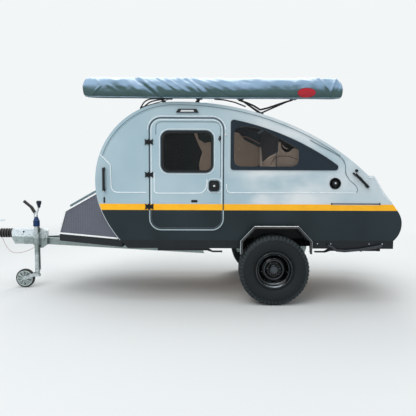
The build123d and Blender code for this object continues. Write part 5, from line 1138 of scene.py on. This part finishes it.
# Awning bag: place along the trailer, lowest, highest, share of the height at which its face turns under
BAG_STATIONS = (
    (-0.962, 2.268, 2.398, 0.62), (-0.950, 2.258, 2.420, 0.62), (-0.930, 2.252, 2.440, 0.62),
    (-0.880, 2.250, 2.449, 0.60), (-0.820, 2.251, 2.450, 0.60), (-0.760, 2.249, 2.450, 0.66),
    (-0.690, 2.248, 2.450, 0.74), (-0.590, 2.247, 2.450, 0.72), (-0.490, 2.246, 2.450, 0.58),
    (-0.390, 2.245, 2.449, 0.44), (-0.300, 2.244, 2.448, 0.52), (-0.200, 2.244, 2.448, 0.46),
    (-0.050, 2.243, 2.447, 0.36), (0.150, 2.242, 2.446, 0.32), (0.300, 2.241, 2.446, 0.34),
    (0.420, 2.240, 2.445, 0.44), (0.560, 2.240, 2.444, 0.38), (0.700, 2.240, 2.444, 0.34),
    (0.900, 2.240, 2.445, 0.40), (1.072, 2.240, 2.446, 0.44), (1.211, 2.240, 2.446, 0.54),
    (1.330, 2.240, 2.447, 0.66), (1.450, 2.241, 2.449, 0.66), (1.580, 2.242, 2.449, 0.50),
    (1.700, 2.242, 2.444, 0.46), (1.752, 2.246, 2.412, 0.56), (1.768, 2.252, 2.384, 0.52),
)
# Creases of the bag's face: place and height share of each end, depth outwards, half width
BAG_CREASES = (
    (-0.434, 1.02, -0.175, 0.02, -0.016, 0.013), (-0.375, 1.02, -0.140, 0.05, 0.014, 0.016),
    (-0.560, 1.00, -0.300, 0.10, 0.007, 0.024), (-0.708, 0.62, -0.600, 0.32, 0.010, 0.010),
    (-0.782, 0.48, -0.878, 0.06, 0.010, 0.010), (-0.845, 0.98, -0.770, 0.60, 0.005, 0.014),
    (-0.690, 0.95, -0.480, 0.40, 0.006, 0.020), (-0.300, 0.90, -0.080, 0.34, 0.008, 0.014),
    (-0.210, 0.98, 0.010, 0.30, -0.006, 0.012), (-0.180, 0.98, 0.030, 0.34, 0.008, 0.012),
    (-0.090, 1.00, 0.140, 0.26, 0.007, 0.014), (-0.030, 0.86, 0.200, 0.22, -0.006, 0.010),
    (0.040, 1.00, 0.250, 0.26, 0.009, 0.014), (0.132, 0.95, 0.330, 0.16, 0.010, 0.012),
    (0.190, 0.90, 0.400, 0.12, -0.009, 0.011), (0.215, 1.00, 0.480, 0.34, 0.009, 0.018),
    (0.330, 1.00, 0.600, 0.40, 0.006, 0.014), (0.406, 0.48, 0.575, 0.04, -0.007, 0.012),
    (0.450, 0.98, 0.760, 0.38, 0.005, 0.020), (0.640, 1.00, 0.960, 0.42, -0.004, 0.018),
    (0.840, 1.00, 1.130, 0.44, 0.004, 0.020), (1.060, 1.00, 1.330, 0.56, 0.005, 0.022),
    (1.300, 0.98, 1.480, 0.66, 0.005, 0.018), (1.507, 1.00, 1.560, 0.78, 0.010, 0.010),
    (1.560, 0.80, 1.615, 0.38, 0.011, 0.011), (1.615, 0.40, 1.659, 0.02, 0.010, 0.011),
    (1.560, 0.98, 1.640, 0.50, -0.009, 0.014), (1.706, 1.00, 1.666, 0.60, 0.011, 0.010),
    (1.666, 0.62, 1.640, 0.20, 0.011, 0.010), (1.735, 0.70, 1.700, 0.20, -0.006, 0.010),
)
# Middle of the bag across the trailer, half its width, distance between its rings, its lowest height
BAG_Y, BAG_HALF, BAG_STEP, BAG_FLOOR = -0.893, 0.075, 0.0095, 2.2390
# Rings that close an end: share of the full ring, distance beyond it
BAG_ENDS = ((0.30, 0.012), (0.62, 0.009), (0.84, 0.004), (0.95, 0.001))
# Steps of the cloth simulation and the farthest that it may move a point
CLOTH_STEPS, CLOTH_REACH = 14, 0.008
CLOTH_SETTINGS = (
    ("quality", 5), ("mass", 0.3), ("tension_stiffness", 12), ("compression_stiffness", 12),
    ("bending_stiffness", 0.4), ("use_pressure", True), ("uniform_pressure_force", 1.2),
)
PATCH_X, PATCH_Z, PATCH_HALF_X, PATCH_HALF_Z = 1.389, 2.292, 0.094, 0.047


def bag_station(x):
    """Low, high and turning share of the bag at a place along it, blended between the stations."""
    for first, second in zip(BAG_STATIONS, BAG_STATIONS[1:]):
        if x <= second[0]:
            share = (x - first[0]) / (second[0] - first[0])
            share = share * share * (3 - 2 * share)
            return [a + (b - a) * share for a, b in zip(first[1:], second[1:])]
    return BAG_STATIONS[-1][1:]


def crease_lift(x, height):
    """How far the creases push the cloth outwards at a place on its face."""
    total = 0.0
    for x0, h0, x1, h1, depth, width in BAG_CREASES:
        run = Vector((x1 - x0, (h1 - h0) * 0.2))
        there = Vector((x - x0, (height - h0) * 0.2))
        share = there.dot(run) / run.length_squared
        if -0.2 < share < 1.2:
            away = (there - run * share).length / width
            total += depth * exp(-away * away) * min(1.0, (share + 0.2) / 0.4) * min(1.0, (1.2 - share) / 0.4)
    return total


def bag_ring(x, squeeze=1.0, sides=64):
    """One closed ring of the bag: flat on its back, sharp along its top, turned under in front."""
    low, high, share = bag_station(x)
    tall = high - low
    knee = low + share * tall
    corners = [Vector(corner) for corner in (
        (BAG_HALF, high - 0.006), (BAG_HALF + 0.004, low + 0.5 * tall), (BAG_HALF, low), (0.0, low - 0.002),
        (-BAG_HALF + 0.034, low), (-BAG_HALF + 0.022, low + 0.010), (-BAG_HALF - 0.001, (knee + low) / 2),
        (-BAG_HALF - 0.013, knee), (-BAG_HALF + 0.006, (knee + high) / 2), (-BAG_HALF + 0.034, high),
        (-BAG_HALF + 0.052, high + 0.004), (0.0, high + 0.001),
    )]
    middle = Vector((0.0, (low + high) / 2))
    ring = []
    for k in range(sides):
        i, s = divmod(k / sides * len(corners), 1)
        a, b, c = (corners[(int(i) + n) % len(corners)] for n in (-1, 0, 1))
        point = a * (0.5 * (1 - s) ** 2) + b * (0.5 + s * (1 - s)) + c * (0.5 * s * s)
        front = max(0.0, min(1.0, (0.03 - point.x) / 0.06))
        lift = crease_lift(x, (point.y - low) / tall) * front
        wander = noise.noise(Vector((x * 9.0, point.x * 26.0, point.y * 26.0))) * 0.0035
        point = point + (point - middle).normalized() * (lift + wander)
        point = middle + (point - middle) * squeeze
        ring.append(Vector((x, BAG_Y + point.x, max(point.y, low - 0.001))))
    return ring


def settle_cloth(bag):
    """Short cloth simulation that lets the modelled folds pull and swell like fabric."""
    before = [vertex.co.copy() for vertex in bag.data.vertices]
    cloth = bag.modifiers.new("cloth", "CLOTH")
    for name, value in CLOTH_SETTINGS:
        setattr(cloth.settings, name, value)
    cloth.settings.effector_weights.gravity = 0.0
    for step in range(1, CLOTH_STEPS + 1):
        bpy.context.scene.frame_set(step)
    settled = bag.evaluated_get(bpy.context.evaluated_depsgraph_get()).data
    after = [vertex.co.copy() for vertex in settled.vertices]
    bag.modifiers.remove(cloth)
    bpy.context.scene.frame_set(1)
    for vertex, old, new in zip(bag.data.vertices, before, after):
        move = new - old
        if move.length > CLOTH_REACH:
            move = move.normalized() * CLOTH_REACH
        vertex.co = old + move
        vertex.co.z = max(vertex.co.z, BAG_FLOOR)
    bag.data.update()


def make_awning():
    """Cloth cover over the rolled awning, with its hem, closed ends and a plain oval patch."""
    start, end = BAG_STATIONS[0][0], BAG_STATIONS[-1][0]
    count = round((end - start) / BAG_STEP)
    rings = [bag_ring(start + 0.003 + (end - start - 0.006) * k / count) for k in range(count + 1)]
    for squeeze, offset in reversed(BAG_ENDS):
        rings.insert(0, [point + Vector((offset, 0, 0)) for point in bag_ring(start, squeeze)])
        rings.append([point - Vector((offset, 0, 0)) for point in bag_ring(end, squeeze)])
    form.skin(rings)
    bag = form.piece("awning_cover", AWNING_COVER, replaces=("awning_bag",), smooth=60)
    settle_cloth(bag)
    faces = [list(polygon.vertices) for polygon in bag.data.polygons]
    cloth = BVHTree.FromPolygons([vertex.co.copy() for vertex in bag.data.vertices], faces)
    grid = []
    for ring in range(7):
        row = []
        for k in range(40):
            angle, share = 2 * pi * k / 40, max(0.02, ring / 6)
            x, z = PATCH_X + PATCH_HALF_X * share * cos(angle), PATCH_Z + PATCH_HALF_Z * share * sin(angle)
            spot = Vector((x, -1.1, z))
            hit = cloth.ray_cast(spot, Vector((0, 1, 0)))[0]
            row.append((hit or spot) - Vector((0, 0.0022 if ring < 6 else 0.0, 0)))
        grid.append(row)
    form.skin(grid)
    form.piece("awning_patch", PATCH_RED)
    form.rod([point - Vector((0, 0.0012, 0)) for point in grid[6]], 0.0022, 6, closed=True)
    form.piece("patch_stitching", PATCH_EDGE)
    top, bottom = [], []
    for k in range(161):
        x = start + 0.02 + (end - start - 0.04) * k / 160
        y = BAG_Y - BAG_HALF + 0.030 + 0.0015 * sin(x * 34.0) + 0.001 * sin(x * 83.0 + 1.0)
        low = bag_station(x)[0]
        top.append((x, y, low + 0.003))
        bottom.append((x, y - 0.002, low - 0.005 - 0.004 * sin(x * 21.0) ** 2))
    form.strip(top, bottom)
    form.piece("awning_hem", AWNING_COVER, thick=0.0022)


# Awning's bars and wires in side view, with distance outside the wall, radius and corner
TIE_RODS = (
    (((0.681, 2.232), (0.760, 2.206), (0.850, 2.170), (0.916, 2.128)), -0.012, 0.0105, 0.3),
    (((0.916, 2.128), (1.000, 2.148), (1.140, 2.196), (1.262, 2.234)), -0.012, 0.0105, 0.3),
    (((-0.368, 2.148), (-0.335, 2.205), (-0.281, 2.236), (-0.180, 2.242)), -0.006, 0.0075, 0.12),
    (((-0.325, 2.163), (-0.270, 2.206), (-0.200, 2.224), (-0.100, 2.240)), -0.006, 0.0075, 0.12),
    (((0.420, 2.238), (0.530, 2.230), (0.640, 2.206), (0.760, 2.160)), -0.006, 0.0075, 0.12),
)


def make_tie_rods():
    """Curved bars and thin tie rods between the roof and the awning."""
    form.side, form.sign = "left", -1
    for rod in TIE_RODS:
        form.line(*rod)
    form.piece("awning_tie_rods", POWDER)


# Coupling and jockey wheel
COUPLING_BOLTS = (
    (-2.075, -0.060, 0.580), (-1.930, -0.101, 0.580), (-1.990, -0.060, 0.655), (-1.905, -0.060, 0.655))
HANDBRAKE_GRIP = ((-1.842, -0.029, 0.930), (-1.882, -0.029, 0.997), (-1.975, -0.029, 1.074))
# One fold of the boot: distance along it, radius; first fold and the distance between folds
FOLD = ((0.0, 0.0440), (0.006, 0.0520), (0.012, 0.0600), (0.018, 0.0600), (0.026, 0.0500), (0.031, 0.0440))
FOLD_START, FOLD_PITCH = -2.298, 0.0328


def make_coupling_details():
    """Bolts, the plug in the cover's hole and the band of the coupling, grip of the handbrake, bellows boot
    and clip.
    """
    for spot in COUPLING_BOLTS:
        form.bolt(spot, (0, -1, 0), 0.009)
    form.rod([(-2.118, -0.0605, 0.628), (-1.705, -0.0605, 0.628)], 0.0045)
    form.piece("coupling_bolts", ZINC, 0.0005)
    plug = ((0.0, 0.012), (0.002, 0.012), (0.0022, 0.008), (0.0008, 0.0))
    form.turned(plug, (-1.977, -0.060, 0.687), (0, -1, 0), 24)
    form.piece("cover_plug", RUBBER)
    grip = bent(HANDBRAKE_GRIP, 0.06)
    last = len(grip) - 1
    rings = []
    for i, point in enumerate(grip):
        along = grip[min(i + 1, last)] - grip[max(i - 1, 0)]
        across = along.cross(Vector((0, 1, 0))).normalized() * (0.0205 - 0.0030 * i / last + 0.0012 * (i % 2))
        turns = [k * pi / 9 for k in range(18)]
        rings.append([point + across * cos(turn) + Vector((0, sin(turn) * 0.0215, 0)) for turn in turns])
    form.skin(rings)
    form.piece("handbrake_grip", RUBBER)
    starts = [FOLD_START + number * FOLD_PITCH for number in range(5)]
    ribs = [(start + along, radius) for start in starts for along, radius in FOLD]
    boot = [(-2.300, 0.030), *ribs, (-2.134, 0.0560), (-2.130, 0.0560), (-2.130, 0.030)]
    form.turned(boot, (0, 0, COUPLING_Z), (1, 0, 0))
    form.piece("bellows_boot", BOOT_RUBBER, replaces=("bellows",))
    form.turned(((-0.004, 0.0585), (0.004, 0.0585)), (-2.128, 0, COUPLING_Z), (1, 0, 0), 36)
    form.piece("bellows_clips", CHROME)


# Collar and crank knob: height, radius; face of the small wheel: distance outwards, radius
COLLAR = (
    (0.770, 0.0385), (0.774, 0.0405), (0.790, 0.0395), (0.826, 0.0395), (0.842, 0.0405), (0.846, 0.034),
    (0.870, 0.026), (0.892, 0.0165), (0.893, 0.0))
KNOB = (
    (1.000, 0.0), (1.000, 0.013), (1.008, 0.0165), (1.030, 0.0205), (1.056, 0.0295), (1.068, 0.0315),
    (1.082, 0.0300), (1.088, 0.022), (1.088, 0.0))
ROLLER_FACE = (
    (0.0, 0.097), (0.005, 0.097), (0.006, 0.088), (0.0015, 0.086), (0.0015, 0.030), (0.0060, 0.028),
    (0.0065, 0.014))
SCREW = (-1.690, -0.146, 0.618)


def make_jockey_details():
    """Blue collar, crank knob, clamp screw and the spoked face of the small wheel."""
    x, y = JOCKEY
    form.turned(COLLAR, (x, y, 0), (0, 0, 1), 36)
    form.piece("jockey_collar", BLUE_MOULDING, 0.0008)
    form.turned(KNOB, (x + 0.036, y, 0), (0, 0, 1), 32)
    form.piece("crank_knob", KNOB_BLUE)
    form.rod([(x - 0.004, y, 0.893), (x + 0.002, y, 0.925), (x + 0.034, y, 1.010)], 0.0105, 10)
    form.turned(((-0.014, 0.019), (0.006, 0.019), (0.014, 0.015)), (x - 0.002, y, 0.900), (0.15, 0, 1), 20)
    form.piece("crank_arm", CHROME)
    screw = ((0.0, 0.011), (0.030, 0.011), (0.031, 0.007), (0.052, 0.007), (0.053, 0.0))
    form.turned(screw, SCREW, (0, -1, 0), 20)
    form.rod([(SCREW[0], -0.194, 0.580), (SCREW[0], -0.194, 0.656)], 0.006, 10)
    for z in (0.560, 0.680):
        form.bolt((-1.702, -0.146, z), (0, -1, 0), 0.009)
    form.prism(((-1.738, 0.53), (-1.723, 0.53), (-1.723, 0.715), (-1.738, 0.715)), -0.147, -0.156)
    form.piece("clamp_screw", ZINC, 0.0008)
    # Dark strip down the outer tube's right side: painted shadow
    form.rod([(x + 0.0325, y - 0.004, 0.225), (x + 0.0325, y - 0.004, 0.765)], 0.0085, 4, spin=45, flat=1.6)
    form.piece("jockey_guide", TUBE_SHADOW, 0.0008)
    for sign in (-1, 1):
        out = Vector((0, sign, 0))
        base = JOCKEY_AXLE + out * 0.0235
        form.turned(ROLLER_FACE, base, out, 48)
        for number in range(10):
            spoke = Vector((cos(2 * pi * number / 10), 0, sin(2 * pi * number / 10)))
            form.rod([base + spoke * 0.024 + out * 0.003, base + spoke * 0.089 + out * 0.002], 0.0055, 6)
    form.piece("jockey_wheel_face", GREY_MOULDING, 0.0006, "jockey_roller")


# Underbody
SKIRT_BOLTS, SKIRT_Z = (1.565, 1.711, 2.132, 2.278), 0.673
STEADY_BOW = (
    (1.668, 0.662), (1.712, 0.648), (1.762, 0.606), (1.860, 0.598), (2.030, 0.614), (2.180, 0.640),
    (2.266, 0.660))


def make_underbody():
    """Skirt bolts, and the bows of the rear steadies."""
    for x in SKIRT_BOLTS:
        form.bolt((x, form.out(-0.002), SKIRT_Z), (0, form.sign, 0), 0.006)
    form.piece("skirt_bolts_*", ZINC)
    for x in (1.80, 2.04):
        form.rod([(x, form.sign * 0.798, 0.596), (x, form.sign * 0.880, 0.600)], 0.011, 10)
    form.line(STEADY_BOW, 0.024, 0.0150, 0.05, sides=10)
    form.piece("steady_bow_*", STEADY_BLACK, body=f"steady_r{form.side[0]}")


# Tail: grip of the tailgate, distances of a lamp's ends from the middle, and of paired trims
TAILGATE_GRIP = ((2.425, -0.16, 1.085), (2.462, -0.15, 1.080), (2.462, 0.15, 1.080), (2.425, 0.16, 1.085))
LAMP_ENDS = (0.640, 0.752)
PLATE_HALF, REFLECTOR_Y, CATCH_Y = 0.262, 0.470, 0.52


def make_tail():
    """Lamp bezels, tailgate handle and catches, plain plate carrier with its lamp, reflectors."""
    form.rod(bent(TAILGATE_GRIP, 0.02), 0.009, 12)
    for y in (-0.16, 0.16):
        form.turned(((0.0, 0.019), (0.006, 0.018), (0.008, 0.010)), (2.404, y, 1.088), (0.86, 0, 0.5), 20)
    form.piece("tailgate_handle", MOULDING, body="tailgate_panel")
    line = [(x + 0.004, z) for x, z in tail_line(0.748, 1.016, -0.006)]
    for sign in SIDES.values():
        ends = [upright((line[0], line[-1]), sign * y) for y in LAMP_ENDS]
        for y in LAMP_ENDS:
            form.rod(upright(line, sign * y), 0.0075)
        for inner, outer in zip(*ends):
            form.rod([inner, outer], 0.0075)
    form.piece("lamp_bezels", MOULDING)
    line = tail_line(0.778, 0.902, -0.0015)
    form.strip(upright(line, -PLATE_HALF), upright(line, PLATE_HALF))
    form.piece("plate_carrier", MOULDING, thick=0.004)
    x, z = tail_line(0.905, 0.935)[0]
    form.prism(rounded(-0.060, 0.060, z - 0.016, z + 0.010, 0.008), x - 0.004, x + 0.016, "X")
    for y in (-0.235, 0.235):
        form.bolt((x + 0.003, y, 0.870), (1, 0, 0), 0.006)
    form.piece("plate_lamp", MOULDING, 0.002)
    x, z = tail_line(0.80, 0.84)[0]
    reflector = ((-0.004, 0.036), (0.004, 0.036), (0.006, 0.030), (0.006, 0.0))
    for y in (-REFLECTOR_Y, REFLECTOR_Y):
        form.turned(reflector, (x, y, z), (1, 0, 0.1), 6)
    form.piece("rear_reflectors", REFLEX)
    x, z = tail_line(1.120, 1.150)[0]
    catch = ((-0.002, 0.024), (0.006, 0.024), (0.009, 0.018), (0.009, 0.0))
    for y in (-CATCH_Y, CATCH_Y):
        form.turned(catch, (x, y, z), (0.87, 0, 0.49), 28)
        form.rod([(x + 0.010, y - 0.012, z + 0.006), (x + 0.010, y + 0.012, z + 0.006)], 0.003)
    form.piece("tailgate_catches", CHROME, 0.0006, "tailgate_panel")


# Galley and roof vent: the sink from above, its levels as inset and height
SINK = (1.710, 2.050, 0.180, 0.580, 0.060)
SINK_MIDDLE, SINK_FLOOR, WORKTOP = (1.880, 0.380), 0.8985, 1.034
SINK_LEVELS = ((0.004, 1.035), (0.006, 0.930), (0.012, 0.908), (0.030, 0.8995), (0.090, 0.8985))
TAP_X = 1.686
VENT_X, VENT_TOP = 0.297, 2.334


def make_galley():
    """Steel bowl with its rim and drain, and a bent tap, on the worktop behind the tailgate."""
    form.frame(rounded(*SINK, -0.010), rounded(*SINK, 0.002), WORKTOP, WORKTOP + 0.0025, "Z")
    bowl = [[place(point, z, "Z") for point in rounded(*SINK, inset)] for inset, z in SINK_LEVELS]
    form.mesh.faces.new(form.skin(bowl, caps=False)[-1])
    drain = ((0.0, 0.030), (0.003, 0.030), (0.004, 0.024), (0.001, 0.022), (0.001, 0.0))
    form.turned(drain, (*SINK_MIDDLE, SINK_FLOOR), (0, 0, 1), 32)
    form.piece("sink_bowl", STEEL)
    y = SINK_MIDDLE[1]
    foot = ((0.0, 0.026), (0.006, 0.026), (0.012, 0.016), (0.040, 0.015), (0.042, 0.0))
    form.turned(foot, (TAP_X, y, WORKTOP), (0, 0, 1), 28)
    neck = ((TAP_X, y, 1.070), (TAP_X, y, 1.240), (1.800, y, 1.240), (1.806, y, 1.195))
    form.rod(bent(neck, (0.0, 0.05, 0.03, 0.0)), 0.0085, 14)
    form.rod([(TAP_X, y + 0.014, 1.062), (TAP_X, y + 0.060, 1.078)], 0.005, 10)
    form.piece("sink_tap", CHROME)


def make_vent():
    """Ribbed cowl and base flange of the roof vent."""
    rib = ((0.0, 0.0600), (0.004, 0.0628), (0.010, 0.0628), (0.013, 0.0600))
    for k in range(4):
        form.turned(rib, (VENT_X, 0, VENT_TOP - 0.032 - 0.022 * k), (0, 0, 1))
    cap = ((-0.008, 0.046), (-0.002, 0.044), (-0.0005, 0.038), (-0.0005, 0.0))
    form.turned(cap, (VENT_X, 0, VENT_TOP), (0, 0, 1))
    form.piece("vent_ribs", WHITE_MOULDING, 0.0005)
    flange = ((-0.012, 0.088), (0.004, 0.088), (0.008, 0.080), (0.008, 0.0))
    form.turned(flange, (VENT_X, 0, skin_height(VENT_X)), (0.02, 0, 1))
    form.piece("vent_flange", GREY_MOULDING, 0.001)


# Bed: ends along the trailer, half width, lowest and highest
BED = (-0.168, 1.368, 0.818, 0.910, 1.040)
BED_CELLS = 96


def make_mattress():
    """Crowned mattress with cross channels and sides drawn in at mid height."""
    x0, x1, half, low, high = BED
    top = []
    for i in range(BED_CELLS + 1):
        u = i / BED_CELLS
        channel = 0.010 * exp(-((((u * 6) % 1) - 0.5) * 9.0) ** 2)
        row = []
        for j in range(BED_CELLS + 1):
            v = j / BED_CELLS
            edge = min(u, 1 - u, v * 0.94, (1 - v) * 0.94)
            crown = (1 - exp(-edge * 22.0)) * 0.024
            rise = crown - channel * min(1, edge * 12)
            row.append(Vector((x0 + u * (x1 - x0), -half + v * 2 * half, high - 0.024 + rise)))
        top.append(row)
    form.skin(top, closed_ring=False, caps=False)
    rim = [row[0] for row in top] + top[-1][1:] + [row[-1] for row in top[-2::-1]] + top[0][-2:0:-1]
    middle = (x0 + x1) / 2
    sides = []
    for level, pull in ((1.0, 0.0), (0.75, 0.006), (0.5, 0.010), (0.25, 0.007), (0.0, 0.0)):
        ring = []
        for point in rim:
            across = point.x - middle
            in_x = copysign(pull * (abs(abs(across) - (x1 - x0) / 2) < 0.001), across)
            in_y = copysign(pull * (abs(abs(point.y) - half) < 0.001), point.y)
            ring.append((point.x - in_x, point.y - in_y, low + (point.z - low) * level))
        sides.append(ring)
    form.skin(sides, caps=False)
    form.mesh.faces.new([form.mesh.verts.new(point) for point in reversed(sides[-1])])
    bmesh.ops.remove_doubles(form.mesh, verts=form.mesh.verts, dist=0.0005)
    bed = form.piece("bed_mattress", BED_CLOTH, replaces=("mattress",), smooth=60)


for form.side, form.sign in SIDES.items():
    make_side_lines()
    make_windows()
    make_door_fittings()
    make_wall_fittings()
    make_tyre_piece()
    make_wheel_details()
    make_flare_details()
make_linings()
make_box_trims()
make_lid_details()
make_awning()
make_tie_rods()
make_coupling_details()
make_jockey_details()
for form.side, form.sign in SIDES.items():
    make_underbody()
make_tail()
make_vent()
make_galley()
make_mattress()

# Floor, light and background: half width of the floor, and the radii between which it fades
FLOOR_HALF, FADE_START, FADE_END = 30.0, 3.5, 8.0
BACKDROP = tint(243, 246, 247)
# Lamps: name, place, the way they face, size, power, colour
AIM = Vector((0.3, 0, 1.0))
LAMPS = (
    ("key", (-2.5, -6.5, 6.5), None, 5.0, 300.0, (1.0, 0.98, 0.95)),
    ("back", (2.5, 6.0, 6.5), None, 4.0, 300.0, (1.0, 0.97, 0.92)),
    ("overhead", (0.0, -0.5, 7.5), None, 6.0, 270.0, (0.95, 0.98, 1.0)),
    ("cabin", (0.20, -0.42, 1.72), (0.6, 0.8, -0.1), 0.9, 9.0, (1.0, 0.98, 0.95)),
)


def seen(tree):
    """1 for rays from the camera, from mirrors and through glass, 0 for light."""
    path = tree.nodes.new("ShaderNodeLightPath")
    total = path.outputs["Is Camera Ray"]
    for name in ("Is Glossy Ray", "Is Transmission Ray"):
        join = tree.nodes.new("ShaderNodeMath")
        join.operation = "MAXIMUM"
        tree.links.new(total, join.inputs[0])
        tree.links.new(path.outputs[name], join.inputs[1])
        total = join.outputs[0]
    return total


def set_stage():
    """Pale floor that fades into a plain pale backdrop, and soft lamps."""
    data = bpy.data.meshes.new("floor_sheet")
    corners = [(x * FLOOR_HALF, y * FLOOR_HALF, 0) for x, y in ((-1, -1), (1, -1), (1, 1), (-1, 1))]
    data.from_pydata(corners, [], [(0, 1, 2, 3)])
    f = Finish("studio_floor", base_color=tint(214, 215, 214), roughness=0.9, specular_ior_level=0.1)
    x, y, z = f.axes()
    far = ((x * x + y * y) ** 0.5).rise(FADE_START, FADE_END) * Flow(f, seen(f.tree))
    glow = f.node("ShaderNodeEmission", None, {"Color": BACKDROP, "Strength": 1.0})
    f.feed(f.output, f.node("ShaderNodeMixShader", None, {0: far, 1: Flow(f, f.surface.outputs[0]), 2: glow}))
    data.materials.append(f.material)
    floor = link("studio_floor_sheet", data)
    world = bpy.data.worlds.new("studio")
    bpy.context.scene.world = world
    world.use_nodes = True
    tree = world.node_tree
    light = tree.nodes["Background"]
    light.inputs["Color"].default_value = (0.88, 0.94, 1.0, 1.0)
    light.inputs["Strength"].default_value = 0.70
    shown = tree.nodes.new("ShaderNodeBackground")
    shown.inputs["Color"].default_value = BACKDROP
    choice = tree.nodes.new("ShaderNodeMixShader")
    for k, source in enumerate((seen(tree), light.outputs[0], shown.outputs[0])):
        tree.links.new(source, choice.inputs[k])
    tree.links.new(choice.outputs[0], tree.nodes["World Output"].inputs[0])
    for name, spot, facing, size, power, colour in LAMPS:
        lamp = bpy.data.lights.new(name, "AREA")
        lamp.shape = "SQUARE"
        lamp.size = size
        lamp.energy = power
        lamp.color = colour
        holder = link(name, lamp)
        holder.location = spot
        facing = Vector(facing) if facing else AIM - Vector(spot)
        holder.rotation_euler = facing.to_track_quat("-Z", "Y").to_euler()
    bpy.context.scene.view_settings.view_transform = "Standard"


set_stage()
